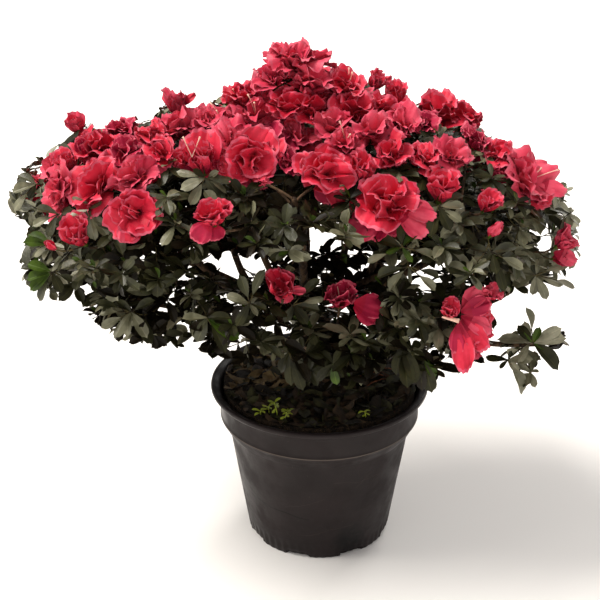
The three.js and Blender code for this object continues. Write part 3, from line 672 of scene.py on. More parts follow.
def bloom_fits(mass, bloom, blooms, apart, fine):
    across, out = dome_plan(bloom.face)
    if out > (FINE_BLOOM.edge if fine else DOME.bloom_edge + DOME.bloom_sides * across * across):
        return False
    if any(np.linalg.norm(other.face - bloom.face) < apart for other in blooms):
        return False
    middle = bloom.face - 0.5 * bloom.radius * bloom.axis
    if not inside_planes(mass, middle, FINE_BLOOM.margin if fine else BLOOM.margin):
        return False
    return nearest_wood(middle) > BLOOM.keep * bloom.radius and nearest_wood(bloom.foot) > BLOOM.clear


# True where the photograph's own side of the crown is: its blooms are all in the list. Further back, a
# bloom may show above them, where the photograph has blossom.
def on_the_front(bloom):
    if dome_normal(bloom.face) @ unit(EYE - bloom.face) < FINE_BLOOM.hidden:
        return False
    return bloom.face[1] < FINE_BLOOM.behind or not inside_outline(bloom.heart, BLOSSOM)


# A ring of directions across the line of sight, to keep a bloom inside the crown's edge
OUTWARD = np.array([
    math.cos(turn) * vec(1, 0, 0) + math.sin(turn) * ABOVE for turn in np.linspace(0, 2 * math.pi, 9)[:-1]
])


# A bloom at the back is lowered until it stays inside the crown's edge as the photograph shows it
def lowered(bloom):
    for _ in range(FINE_BLOOM.steps):
        if inside_outline(bloom.heart + OUTWARD * bloom.radius, EDGE).all():
            return True
        for place in (bloom.heart, bloom.foot, bloom.face):
            place[2] -= FINE_BLOOM.step
    return False


def shoot_dart(mass, draw, size):
    turn = draw() * 2 * math.pi
    lift = SHOOT.lift * draw() - 1
    out = size.inner + size.band * draw()
    spin = draw() * 360
    flat = math.sqrt(1 - lift * lift)
    way = vec(flat * math.cos(turn), flat * math.sin(turn), lift)
    axis = unit(SHOOT.lean * way + SHOOT.rise * vec(0, 0, 1))
    return new_shoot(mass.middle + way * mass.reach * out, axis, spin)


def shoot_fits(mass, shoot, shoots, hearts, size):
    if not in_space(mass, shoot.tip, size.margin) or in_sky(shoot.tip):
        return False
    if not inside_outline(shoot.tip, EDGE):
        return False
    if size is FINE and noise.noise(Vector(shoot.tip) * FINE.patches) < FINE.bare:
        return False
    if shoots and np.linalg.norm(np.array([s.tip for s in shoots]) - shoot.tip, axis=1).min() < size.apart:
        return False
    if np.linalg.norm(hearts - shoot.tip, axis=1).min() < size.from_bloom:
        return False
    return nearest_wood(shoot.tip) > size.clear


def stem_curve(mass, draw):
    start = mass.mouth + GAP * mass.heading
    best = None
    for way in range(STEM.ways):
        aside = STEM.stray * way * vec(draw() - 0.5, draw() - 0.5, draw() - 0.5)
        end = mass.middle + STEM.past * mass.reach[2] * mass.heading + aside
        length = np.linalg.norm(end - start)
        curve = bezier(
            start,
            start + STEM.bend[0] * length * mass.heading,
            end - STEM.bend[1] * length * mass.heading,
            end,
        )
        room = nearest_wood(curve(STEM.checked)).min()
        if best is None or room > best[1] + STEM.better:
            best = (curve, room)
        if best[1] > STEM.clear:
            break
    return best[0]


# The growing rule: one twig for each dart that fits, from the nearest node that already heads that way
class Growth:
    """A mass's stem, the twigs that leave it, the nodes that a new twig may leave, and the shoots."""

    def __init__(self, mass, draw):
        self.mass = mass
        self.draw = draw
        self.stem = stem_curve(mass, draw)
        self.nodes, self.twigs, self.shoots = [], [], []
        self.add_nodes(self.stem(np.linspace(0, 1, STEM.steps + 1)), STEM.tip)

    # Nodes of older wood that new twigs leave from
    def add_nodes(self, places, r):
        for n, (before, after) in enumerate(zip(places, places[1:])):
            last = n == len(places) - 2
            way = unit(after - before)
            for t in (NODES.early, NODES.late) if last else (NODES.middle,):
                self.nodes.append(Values(place=lerp(before, after, t), way=way, r=r))

    def best_nodes(self, tip, least):
        ways = tip - np.array([node.place for node in self.nodes])
        apart = np.linalg.norm(ways, axis=1)
        along = (ways * np.array([node.way for node in self.nodes])).sum(axis=1) / np.maximum(apart, 1e-9)
        cost = np.where(apart < least, np.inf, apart * (TWIG.turning - along))
        return [self.nodes[n] for n in np.argsort(cost, kind="stable") if cost[n] < np.inf]

    # The first node whose straight way to the tip is clear. One that has to be reached takes the best node.
    def clear_node(self, tip, size, least, sure):
        shares = np.arange(2, 9) / 8
        best = self.best_nodes(tip, least)
        for node in best[: TWIG.tries if sure else 1]:
            points = straight(node.place, tip)(shares)
            inside = in_space(self.mass, points, size.margin).all()
            if inside and nearest_wood(points).min() > size.clear:
                return node
        return best[0] if sure and best else None

    def reach(self, tip, heading, kind, size, least, sure=False):
        node = self.clear_node(tip, size, least, sure)
        if node is None:
            return False
        self.nodes = [other for other in self.nodes if other is not node]
        r = max(size.finest, TWIG.foot * node.r)
        length = np.linalg.norm(tip - node.place)
        curve = bezier(
            node.place, node.place + TWIG.bend * length * unit(node.way + unit(tip - node.place)),
            tip - TWIG.bend * length * heading, tip,
        )
        self.twigs.append(Values(
            curve=curve, foot=r, tip=max(size.finest, TWIG.tip * r), kind=kind, length=length
        ))
        self.add_nodes(curve((0, 0.5, 1)) if length > TWIG.long else curve((0, 1)), r)
        return True

    def add_blooms(self, blooms):
        grown = 0
        for dart in range(DARTS.bloom + DARTS.fine_bloom):
            fine = dart >= DARTS.bloom
            bloom = bloom_dart(self.mass, dart, self.draw)
            most = self.mass.blooms * (FINE_BLOOM.more if fine else 1)
            apart = FINE_BLOOM.apart if fine else BLOOM.apart
            if grown >= most or on_the_front(bloom) or not lowered(bloom):
                continue
            if not bloom_fits(self.mass, bloom, blooms, apart, fine):
                continue
            if self.reach(bloom.foot, bloom.axis, "bloom", TWIG, TWIG.least):
                blooms.append(bloom)
                grown += 1

    def add_shoots(self, hearts, draw, darts, most, size, twig, least):
        for _ in range(darts):
            shoot = shoot_dart(self.mass, draw, size)
            if len(self.shoots) < most and shoot_fits(self.mass, shoot, self.shoots, hearts, size):
                if self.reach(shoot.tip, shoot.axis, "shoot", twig, least):
                    self.shoots.append(shoot)


# A mass's growth. Seen blooms and shoots are always reached. Its other blooms join the list of all blooms.
def grow(mass, seed, blooms, seen, seen_shoots):
    growth = Growth(mass, seeded_draws(seed))
    for bloom in seen:
        growth.reach(bloom.foot, bloom.axis, "bloom", TWIG, TWIG.least, sure=True)
    growth.add_blooms(blooms)
    hearts = np.array([bloom.heart for bloom in blooms])
    growth.add_shoots(hearts, growth.draw, DARTS.shoot, mass.shoots, SHOOT, TWIG, TWIG.least)
    for shoot in seen_shoots:
        if growth.reach(shoot.tip, shoot.axis, "shoot", FINE_TWIG, FINE.least, sure=True):
            growth.shoots.append(shoot)
    darts = FEW_DARTS.get(mass.name, DARTS.fine)
    fine_draw = seeded_draws(seed + SEEDS.fine)
    growth.add_shoots(hearts, fine_draw, darts, math.inf, FINE, FINE_TWIG, FINE.least)
    return growth


def nearest_mass(place):
    inside = [mass for mass in masses if in_space(mass, place, 0)]
    if inside:
        return inside[0]
    return min(masses, key=lambda mass: np.linalg.norm((place - mass.middle) / mass.reach))


def grow_all():
    blooms = [seen_bloom(*row) for row in SEEN_BLOOMS]
    owners = [nearest_mass(bloom.heart) for bloom in blooms]
    whorled = [seen_shoot(across, down, back, tips=tips) for across, down, back, tips in SEEN_WHORLS]
    shoots = [shoot for shoot in whorled + [seen_shoot(*row) for row in SEEN_SHOOTS] if shoot]
    shoot_owners = [nearest_mass(shoot.tip) for shoot in shoots]
    growths = []
    for n, mass in enumerate(masses):
        seen = [bloom for bloom, owner in zip(blooms, owners) if owner is mass]
        own = [shoot for shoot, owner in zip(shoots, shoot_owners) if owner is mass]
        growths.append(grow(mass, SEEDS.growth + n, blooms, seen, own))
    return blooms, growths


blooms, growths = grow_all()


# Materials
def tint(code):
    parts = [int(code[i : i + 2], 16) / 255 for i in (0, 2, 4)]
    return (*(c / 12.92 if c <= 0.04045 else ((c + 0.055) / 1.055) ** 2.4 for c in parts), 1)


def node(tree, kind, values=None, **settings):
    made = tree.nodes.new(kind)
    for name, value in settings.items():
        setattr(made, name, value)
    for name, value in (values or {}).items():
        made.inputs[name].default_value = value
    return made


def link(tree, *pairs):
    for source, target in pairs:
        tree.links.new(source, target)


# A group that takes a vector and a few numbers, and puts out one mask or normal
def new_group(name, numbers, output, kind="NodeSocketFloat"):
    tree = bpy.data.node_groups.new(name, "ShaderNodeTree")
    tree.interface.new_socket("Vector", in_out="INPUT", socket_type="NodeSocketVector")
    for title, value in numbers.items():
        socket = tree.interface.new_socket(title, in_out="INPUT", socket_type="NodeSocketFloat")
        socket.default_value = value
    tree.interface.new_socket(output, in_out="OUTPUT", socket_type=kind)
    return tree, tree.nodes.new("NodeGroupInput").outputs, tree.nodes.new("NodeGroupOutput").inputs


def noise_in_group(tree, given):
    cloud = node(tree, "ShaderNodeTexNoise")
    link(tree, *((given[title], cloud.inputs[title]) for title in ("Vector", "Scale", "Detail")))
    return cloud.outputs["Fac"]


# Soft blotches between two levels, as a mask
def mottle_group():
    numbers = {"Scale": 50.0, "Detail": 3.0, "Low": 0.35, "High": 0.65}
    tree, given, made = new_group("mottle", numbers, "Mask")
    spread = node(tree, "ShaderNodeMapRange", interpolation_type="SMOOTHSTEP")
    link(
        tree,
        (noise_in_group(tree, given), spread.inputs["Value"]), (given["Low"], spread.inputs["From Min"]),
        (given["High"], spread.inputs["From Max"]), (spread.outputs["Result"], made["Mask"]),
    )
    return tree


# Fine unevenness of a surface, as a normal
def relief_group():
    numbers = {"Scale": 400.0, "Detail": 4.0, "Strength": 0.3, "Distance": 0.0005}
    tree, given, made = new_group("relief", numbers, "Normal", "NodeSocketVector")
    bump = node(tree, "ShaderNodeBump")
    link(
        tree,
        (noise_in_group(tree, given), bump.inputs["Height"]), (given["Strength"], bump.inputs["Strength"]),
        (given["Distance"], bump.inputs["Distance"]), (bump.outputs["Normal"], made["Normal"]),
    )
    return tree


# One step of arithmetic on two values, each a socket or a number
def worked_out(tree, kind, first, second=0.0):
    made = node(tree, "ShaderNodeMath", operation=kind)
    for n, value in enumerate((first, second)):
        if isinstance(value, (int, float)):
            made.inputs[n].default_value = value
        else:
            link(tree, (value, made.inputs[n]))
    return made.outputs[0]


# A thin line drawn on the pot's front, from left to right. One that starts left of ALL_ROUND goes all round.
ALL_ROUND = -0.1
WAVES = {"Scale": 45.0, "Detail": 3.0}


def line_group():
    numbers = dict.fromkeys(("Height", "Slope", "Left", "Right", "Half", "Waves"), 0.0)
    tree, given, made = new_group("thin_line", numbers, "Mask")

    def step(kind, first, second=0.0):
        return worked_out(tree, kind, first, second)

    parts = node(tree, "ShaderNodeSeparateXYZ")
    grain = node(tree, "ShaderNodeTexNoise", WAVES)
    link(tree, (given["Vector"], parts.inputs[0]), (given["Vector"], grain.inputs["Vector"]))
    x, y, z = parts.outputs
    wave = step("MULTIPLY", step("SUBTRACT", grain.outputs["Fac"], 0.5), given["Waves"])
    line = step("ADD", given["Height"], step("MULTIPLY", x, given["Slope"]))
    off = step("ABSOLUTE", step("SUBTRACT", z, step("ADD", line, wave)))
    near = step("SUBTRACT", 1.0, step("MINIMUM", 1.0, step("DIVIDE", off, given["Half"])))
    right_of = step("GREATER_THAN", x, given["Left"])
    left_of = step("LESS_THAN", x, given["Right"])
    front = step("MAXIMUM", step("LESS_THAN", y, 0.0), step("LESS_THAN", given["Left"], ALL_ROUND))
    mask = step("MULTIPLY", step("MULTIPLY", near, right_of), step("MULTIPLY", left_of, front))
    link(tree, (mask, made["Mask"]))
    return tree


MOTTLE = mottle_group()
RELIEF = relief_group()
THIN_LINE = line_group()


def new_material(name, roughness, specular):
    material = bpy.data.materials.new(name)
    material.use_nodes = True
    tree = material.node_tree
    shader = tree.nodes["Principled BSDF"]
    shader.inputs["Roughness"].default_value = roughness
    shader.inputs["Specular IOR Level"].default_value = specular
    place = node(tree, "ShaderNodeTexCoord").outputs["Object"]
    return material, tree, shader, place


def grouped(tree, group, place, values):
    made = node(tree, "ShaderNodeGroup", values, node_tree=group)
    link(tree, (place, made.inputs["Vector"]))
    return made.outputs[0]


def mottle(tree, place, scale, detail=3, low=0.35, high=0.65):
    return grouped(tree, MOTTLE, place, {"Scale": scale, "Detail": detail, "Low": low, "High": high})


# The last step of each finish: its colour and its relief
def finish(tree, place, shader, colour, scale, strength, distance, detail=4.0):
    link(tree, (colour, shader.inputs["Base Color"]))
    values = {"Scale": scale, "Detail": detail, "Strength": strength, "Distance": distance}
    link(tree, (grouped(tree, RELIEF, place, values), shader.inputs["Normal"]))


# A colour is a socket or a tint; the mask takes it from the first to the second
def blend_colours(tree, mask, first, second):
    made = node(tree, "ShaderNodeMix", data_type="RGBA")
    for n, colour in ((6, first), (7, second)):
        if isinstance(colour, str):
            made.inputs[n].default_value = tint(colour)
        else:
            link(tree, (colour, made.inputs[n]))
    link(tree, (mask, made.inputs[0]))
    return made.outputs[2]


def leaf_material(name, dark, light, back, roughness=0.45, specular=0.36):
    material, tree, shader, place = new_material(name, roughness, specular)
    upper = blend_colours(tree, mottle(tree, place, scale=90, detail=2), dark, light)
    under = node(tree, "ShaderNodeNewGeometry").outputs["Backfacing"]
    colour = blend_colours(tree, under, upper, back)
    finish(tree, place, shader, colour, scale=420, strength=0.45, distance=0.0006, detail=2)
    return material


def petal_material(name, deep, fair):
    material, tree, shader, place = new_material(name, roughness=0.5, specular=0.2)
    shader.inputs["Sheen Weight"].default_value = 0.03
    shader.inputs["Sheen Roughness"].default_value = 0.5
    colour = blend_colours(tree, mottle(tree, place, scale=70, low=0.3, high=0.7), deep, fair)
    finish(tree, place, shader, colour, scale=260, strength=0.35, distance=0.0008, detail=3)
    return material


def bark_material(name, dark, light):
    material, tree, shader, place = new_material(name, roughness=0.85, specular=0.25)
    stretch = node(tree, "ShaderNodeMapping", {"Scale": (1, 1, 0.3)})
    link(tree, (place, stretch.inputs["Vector"]))
    along = stretch.outputs["Vector"]
    colour = blend_colours(tree, mottle(tree, along, scale=240, detail=5, low=0.38, high=0.62), dark, light)
    finish(tree, along, shader, colour, scale=540, strength=0.8, distance=0.0012, detail=5)
    return material


def litter_material(name, dark, light):
    material, tree, shader, place = new_material(name, roughness=0.75, specular=0.3)
    colour = blend_colours(tree, mottle(tree, place, scale=160, detail=4), dark, light)
    finish(tree, place, shader, colour, scale=700, strength=0.5, distance=0.0006)
    return material


def soil_material():
    material, tree, shader, place = new_material("potting_mix", roughness=0.95, specular=0.2)
    coarse = mottle(tree, place, scale=220, detail=6, low=0.4, high=0.6)
    crumbs = mottle(tree, place, scale=900, low=0.58, high=0.66)
    colour = blend_colours(tree, crumbs, blend_colours(tree, coarse, "0d0a07", "2a2016"), "4a3b28")
    finish(tree, place, shader, colour, scale=480, strength=1.0, distance=0.003, detail=8)
    return material


# One darker patch on the pot's wall, in metres
DARK_PATCH = Values(at=(0.032, -0.066, 0.018), full=0.008, gone=0.026)
# Marks on the pot: height, slope, left and right ends, half width, waviness, colour. The first is a pale
# line at the band's foot, the next two are creases in the wall drawn as dark lines of painted shade, then
# scratches.
POT_MARKS = [
    (BAND_FOOT * MM, 0.0, -0.2, 0.2, 0.0007, 0.0, "5b524b"),
    (0.0435, -0.17, -0.062, -0.009, 0.0009, 0.006, "0a0807"),
    (0.016, -0.72, -0.072, -0.045, 0.001, 0.004, "0a0807"),
    (0.066, 0.35, -0.03, 0.004, 0.0003, 0.01, "332b28"),
    (0.088, -0.12, 0.012, 0.05, 0.0003, 0.012, "332b28"),
    (0.05, 0.9, 0.03, 0.044, 0.0003, 0.008, "3a322e"),
    (0.03, 0.22, -0.02, 0.03, 0.0003, 0.012, "332b28"),
]


def dark_patch_mask(tree, place):
    apart = node(tree, "ShaderNodeVectorMath", {1: DARK_PATCH.at}, operation="DISTANCE")
    limits = {"From Min": DARK_PATCH.full, "From Max": DARK_PATCH.gone, "To Min": 1.0, "To Max": 0.0}
    near = node(tree, "ShaderNodeMapRange", limits, interpolation_type="SMOOTHSTEP")
    link(tree, (place, apart.inputs[0]), (apart.outputs["Value"], near.inputs["Value"]))
    blotches = mottle(tree, place, scale=90, detail=4, low=0.3, high=0.6)
    return worked_out(tree, "MULTIPLY", near.outputs["Result"], blotches)


# Black pot plastic with a warm dusty bloom, fine specks of dust, the darker patch and the marks
def pot_material():
    material, tree, shader, place = new_material("pot_plastic", roughness=0.4, specular=0.15)
    dust = mottle(tree, place, scale=26, detail=5, low=0.3, high=0.8)
    specks = mottle(tree, place, scale=620, detail=2, low=0.72, high=0.78)
    colour = blend_colours(tree, specks, blend_colours(tree, dust, "1c1616", "241d1d"), "3a322e")
    colour = blend_colours(tree, dark_patch_mask(tree, place), colour, "0b0a0b")
    for height, slope, left, right, half, waves, tone in POT_MARKS:
        line = {"Height": height, "Slope": slope, "Left": left, "Right": right, "Half": half, "Waves": waves}
        colour = blend_colours(tree, grouped(tree, THIN_LINE, place, line), colour, tone)
    rough = node(tree, "ShaderNodeMapRange", {"To Min": 0.36, "To Max": 0.6})
    link(
        tree,
        (mottle(tree, place, scale=45, detail=4), rough.inputs["Value"]),
        (rough.outputs["Result"], shader.inputs["Roughness"]),
    )
    finish(tree, place, shader, colour, scale=180, strength=0.25, distance=0.0008, detail=3)
    return material


# Blender's pieces
def kept_mesh(bm):
    bm.verts.ensure_lookup_table()
    points = np.array([v.co for v in bm.verts])
    loops = np.array([v.index for f in bm.faces for v in f.verts])
    sizes = np.array([len(f.verts) for f in bm.faces])
    slots = np.array([f.material_index for f in bm.faces])
    bm.free()
    return Values(points=points, loops=loops, sizes=sizes, slots=slots)


def piece(name, mesh, materials, nodes):
    mesh.shade_smooth()
    for material in materials:
        mesh.materials.append(material)
    made = bpy.data.objects.new(name, mesh)
    bpy.context.scene.collection.objects.link(made)
    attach(made, "root")
    if nodes:
        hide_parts(*nodes)


# Many copies of small shapes as one mesh. Copies is a list of [shape, points of each copy], in millimetres
def joined(name, copies, materials, nodes):
    points, loops, sizes, slots, base = [], [], [], [], 0
    for shape, moved in copies:
        count, each = moved.shape[:2]
        starts = base + each * np.arange(count)
        points.append(moved.reshape(-1, 3))
        loops.append((shape.loops[None, :] + starts[:, None]).ravel())
        sizes.append(np.tile(shape.sizes, count))
        slots.append(np.tile(shape.slots, count))
        base += count * each
    points, loops, sizes, slots = (np.concatenate(x) for x in (points, loops, sizes, slots))
    mesh = bpy.data.meshes.new(name)
    mesh.vertices.add(len(points))
    mesh.vertices.foreach_set("co", (points * MM).astype(np.float32).ravel())
    mesh.loops.add(len(loops))
    mesh.loops.foreach_set("vertex_index", loops.astype(np.int32))
    mesh.polygons.add(len(sizes))
    mesh.polygons.foreach_set("loop_start", (np.cumsum(sizes) - sizes).astype(np.int32))
    mesh.polygons.foreach_set("material_index", slots.astype(np.int32))
    mesh.update(calc_edges=True)
    piece(name, mesh, materials, nodes)


def moved_copies(shape, matrices, offsets):
    return np.einsum("kij,nj->kni", matrices, shape.points) + offsets[:, None, :]


# A shape in millimetres as a piece of its own
def single(name, bm, material, nodes):
    bm.transform(Matrix.Scale(MM, 4))
    mesh = bpy.data.meshes.new(name)
    bm.to_mesh(mesh)
    bm.free()
    piece(name, mesh, [material], nodes)


# A profile of radii and heights, turned round the upright axis
def spun(profile, turns):
    bm = bmesh.new()
    verts = [bm.verts.new((r, 0, z)) for r, z in profile]
    edges = [bm.edges.new(pair) for pair in zip(verts, verts[1:])]
    bmesh.ops.spin(
        bm, geom=verts + edges, cent=(0, 0, 0), axis=(0, 0, 1), angle=2 * math.pi, steps=turns, use_merge=True
    )
    bmesh.ops.remove_doubles(bm, verts=bm.verts, dist=1e-4)
    bmesh.ops.recalc_face_normals(bm, faces=bm.faces)
    return bm


# A flat grid to shape a leaf or a petal from, and each vertex's place across and along it
def sheet(columns, rows):
    bm = bmesh.new()
    bmesh.ops.create_grid(bm, x_segments=len(columns) - 1, y_segments=len(rows) - 1, size=0.5)
    spots = []
    for vert in bm.verts:
        column = round((vert.co.x + 0.5) * (len(columns) - 1))
        row = round((vert.co.y + 0.5) * (len(rows) - 1))
        spots.append((vert, columns[column], rows[row]))
    return bm, spots


# Rings of a tube: round the unit circle, and a share along
def ring_shape(sides, steps):
    bm = bmesh.new()
    bmesh.ops.create_cone(bm, cap_ends=True, segments=sides, radius1=1, radius2=1, depth=1)
    lengthwise = [e for e in bm.edges if abs(e.verts[0].co.z - e.verts[1].co.z) > 0.5]
    bmesh.ops.subdivide_edges(bm, edges=lengthwise, cuts=steps - 1)
    shape = kept_mesh(bm)
    shape.along = np.round((shape.points[:, 2] + 0.5) * steps).astype(int)
    shape.steps = steps
    return shape


def frames_along(centres):
    ways = np.gradient(centres, axis=0)
    ways /= np.linalg.norm(ways, axis=1)[:, None]
    side = unit(np.cross(ways[0], (0.3, 0.9, 0.2)))
    sides = []
    for way in ways:
        side = unit(side - (side @ way) * way)
        sides.append(side)
    sides = np.array(sides)
    return sides, np.cross(ways, sides)


# A tube laid on a curve. Swell, where given, changes the radius of each point.
def laid_tube(shape, curve, radius_at, swell=None):
    shares = np.linspace(0, 1, shape.steps + 1)
    centres = curve(shares)
    sides, acrosses = frames_along(centres)
    radii = np.broadcast_to(radius_at(shares), shares.shape)[shape.along]
    if swell is not None:
        radii = radii * swell(shape, centres)
    x, y = shape.points[:, 0] * radii, shape.points[:, 1] * radii
    return centres[shape.along] + x[:, None] * sides[shape.along] + y[:, None] * acrosses[shape.along]


def tapered(shape, curve, foot, tip):
    return laid_tube(shape, curve, lambda t: lerp(foot, tip, t))


# Bark: long fissures and broken plates, by seeded noise round and along the limb
FISSURES = Values(round=1.6, along=0.045, drift=0.02, scale=1.9, lift=0.9)
PLATES = Values(round=2.3, along=0.19, drift=0.1, scale=1, lift=0.55)
BARK_SINK = 0.3
TRUNK_BARK = Values(sides=40, step=1.6, rough=0.13)
BOUGH_BARK = Values(sides=14, step=2.6, rough=0.16)
FEWEST_RINGS = 6
# Ridges round the trunk's foot: how high they run, how many, how far out and where they start
ROOTS = Values(high=20, sunk=1, ridges=((0.2, 4, 0.7), (0.1, 7, 0)))


def bark_swell(rough):
    def relief(x, y, place, form):
        along = place.z * form.along + place.x * form.drift
        return noise.noise(Vector((x * form.round, y * form.round, along)) * form.scale)

    def swell(shape, centres):
        made = []
        for (x, y, _), ring in zip(shape.points, shape.along):
            place = Vector(centres[ring])
            plate = PLATES.lift * relief(x, y, place, PLATES)
            fissure = FISSURES.lift * abs(relief(x, y, place, FISSURES))
            made.append(1 + rough * (plate + fissure - BARK_SINK))
        return np.array(made)

    return swell


def limb_piece(name, names, look, material, nodes):
    copies = []
    for limb_name in names:
        limb = limbs[limb_name]
        shape = ring_shape(look.sides, max(FEWEST_RINGS, round(length_of(limb.curve) / look.step)))
        points = laid_tube(shape, limb.curve, limb.radius_at, bark_swell(look.rough))
        if limb_name == "trunk":
            points = rooted(points, shape)
        copies.append((shape, points[None]))
    joined(name, copies, [material], nodes)


# The trunk's foot: ridges that run into the roots, and its lowest ring level on the soil
def rooted(points, shape):
    foot = SOIL_MIDDLE + GAP
    turn = np.arctan2(points[:, 1], points[:, 0])
    near = np.clip(1 - (points[:, 2] - foot) / ROOTS.high, 0, 1) ** 2
    spread = 1 + near * sum(out * np.cos(count * turn + first) for out, count, first in ROOTS.ridges)
    points[:, :2] *= spread[:, None]
    points[:, 2] = np.where(shape.along == 0, foot - ROOTS.sunk, points[:, 2])
    return points


# Leaves: lengths in millimetres, and the rest as shares of a leaf's length
LEAF = Values(
    shortest=13, longest=23, young=8, broadest=0.6, blunt=0.96, shoulder=2.6, round=0.07, slimmest=0.016,
    rib=0.004, past=2.5,
)
LEAF_COLUMNS = (-1, -0.06, 0.06, 1)
LEAF_ROWS = (0, 0.2, 0.4, 0.6, 0.78, 0.92, 1)
LEAF_WAVES = Values(along=9, across=2)
# Fold, droop, cup, wave and width of each shape of leaf
LEAF_FORMS = (
    (0.4, 0.1, -0.5, 0.01, 0.46), (0.3, 0.24, 0.6, 0.014, 0.46), (0.6, 0.04, 0.3, 0.016, 0.46),
    (0.3, 0.16, 1.2, 0.01, 0.36), (0.35, 0.3, -0.6, 0.018, 0.44), (0.5, 0.2, 0.4, 0.012, 0.4),
)
SHAPE_DRAW = 60
# A leaf that would leave the crown is laid at the first of these shares of its length that stays in it
LEAF_SHARES = (1, 0.8, 0.62, 0)
HEART_SHARE = 0.75


def leaf_half(along, width):
    broadest = LEAF.broadest
    if along < broadest:
        return 0.5 * width * math.sin(0.5 * math.pi * along / broadest)
    past = LEAF.blunt * (along - broadest) / (1 - broadest)
    return 0.5 * width * math.sqrt(1 - past ** LEAF.shoulder)


def leaf_shape(fold, droop, cup, wave, width):
    bm, spots = sheet(LEAF_COLUMNS, LEAF_ROWS)
    for vert, across, along in spots:
        side = across * max(LEAF.slimmest, leaf_half(along, width))
        along -= LEAF.round * (across * along**4) ** 2
        lift = fold * abs(side) - cup * side * side / width - droop * along * along
        lift += wave * math.sin(LEAF_WAVES.along * along + LEAF_WAVES.across * across) * abs(across)
        vert.co = (side, along, lift)
    for face in bm.faces:
        face.material_index = int(abs(face.calc_center_median().x) < LEAF.rib)
    return kept_mesh(bm)


LEAF_SHAPES = [leaf_shape(*form) for form in LEAF_FORMS]


class Leaves:
    """Leaves to lay, each with a foot, a way, an upper side, a length, a colour and a shape."""

    def __init__(self):
        self.rows = []

    # A mass of None is for leaves on the boughs. Placed leaves are kept as they are.
    def add(self, foot, way, upper, length, colour, draw, mass=None, placed=False):
        way = unit(way)
        upper = unit(upper - (upper @ way) * way)
        shape = int(draw() * SHAPE_DRAW) % len(LEAF_SHAPES)
        self.rows.append(Values(
            foot=foot, way=way, upper=upper, length=length, colour=colour, shape=shape, mass=mass,
            placed=placed,
        ))

    # Leaves that leave the crown's reach are laid shorter, or left out, and so are those inside a bloom
    def fit_to_crown(self, blooms):
        hearts = np.array([bloom.heart for bloom in blooms])
        radii = np.array([bloom.radius for bloom in blooms])

        def fits(row):
            if row.placed:
                return True
            for share in LEAF_SHARES:
                tip = row.foot + share * row.length * row.way
                ends = np.array((tip, row.foot + 0.5 * share * row.length * row.way))
                within = row.mass is None or inside_reach(row.mass, ends, -LEAF.past).all()
                if within and not in_sky(ends).any() and inside_outline(ends, EDGE).all():
                    break
            row.length *= share
            apart = np.linalg.norm(hearts - ends[:, None], axis=-1)
            return share > 0 and not (apart < HEART_SHARE * radii).any()

        self.rows = [row for row in self.rows if fits(row)]

    def copies(self, colour):
        made = []
        for n, shape in enumerate(LEAF_SHAPES):
            rows = [row for row in self.rows if row.colour == colour and row.shape == n]
            if not rows:
                continue
            feet, ways, uppers = (np.array(x) for x in zip(*((row.foot, row.way, row.upper) for row in rows)))
            lengths = np.array([row.length for row in rows])
            axes = np.stack([np.cross(ways, uppers), ways, uppers], axis=-1) * lengths[:, None, None]
            made.append((shape, moved_copies(shape, axes, feet)))
        return made


def any_side(axis):
    return unit(np.cross(axis, (0.21, 0.35, 0.9) if abs(axis[2]) < 0.8 else (0.9, 0.3, 0.1)))


def turned(side, axis, angle):
    return side * math.cos(angle) + np.cross(axis, side) * math.sin(angle)


# A leaf that opens away from an axis: its way, and its upper side
def opened(axis, out, angle):
    way = axis * math.cos(angle) + out * math.sin(angle)
    return way, axis * math.sin(angle) - out * math.cos(angle)


def leaf_length(draw):
    return lerp(LEAF.shortest, LEAF.longest, draw())


# Painted light and shade: each lit green and the least light a spray needs for it, and each green's next
# darker one
LIT_GREENS = [(1.15, "pale"), (0.3, "grey"), (-0.15, "mid"), (-0.6, "dark")]
DARKER = {"pale": "grey", "grey": "mid", "mid": "dark", "dark": "shade"}
# How much light a spray gets: to the crown's sides, up from a height, out from its mass, low on the front
LIGHT = Values(
    side=(1.3, 0.3), middle=330, tall=150, out=1.2, half_out=0.75, low=310, low_over=60, front=-20,
    low_gain=0.35, stray=1.2, low_stray=2.6,
)


# The green of a spray is painted light and shade, by how much light it gets: more at the crown's two sides,
# high and well out. Low on the front, sprays in the light stand among dark ones.
def green_at(mass, place, draw):
    across = dome_plan(place)[0]
    depth = np.linalg.norm((place - mass.middle) / mass.reach)
    low = min(1, max(0, (LIGHT.low - place[2]) / LIGHT.low_over)) * (place[1] < LIGHT.front)
    light = across * (LIGHT.side[0] * across + LIGHT.side[1])
    light = light + (place[2] - LIGHT.middle) / LIGHT.tall + LIGHT.out * (depth - LIGHT.half_out)
    light += LIGHT.low_gain * low + (LIGHT.stray + LIGHT.low_stray * low) * (draw() - 0.5)
    for least, colour in LIT_GREENS:
        if light > least:
            return colour
    return "shade"


# Rings of a whorl: leaves, angle from its axis, size, and how far back down the twig
WHORL_RINGS = ((6, 86, 1.0, 3.5), (5, 60, 0.85, 1.0))
WHORL = Values(
    own=0.5, stray=0.7, rise=0.45, more_rise=0.8, turn=0.9, open=40, droop=0.02, more_droop=0.2, roll=0.35,
    full_light=0.5, next_light=0.75,
)
YOUNG = Values(most=2.6, open=18, more_open=22, turn=2.1, least=0.7, more=0.5)


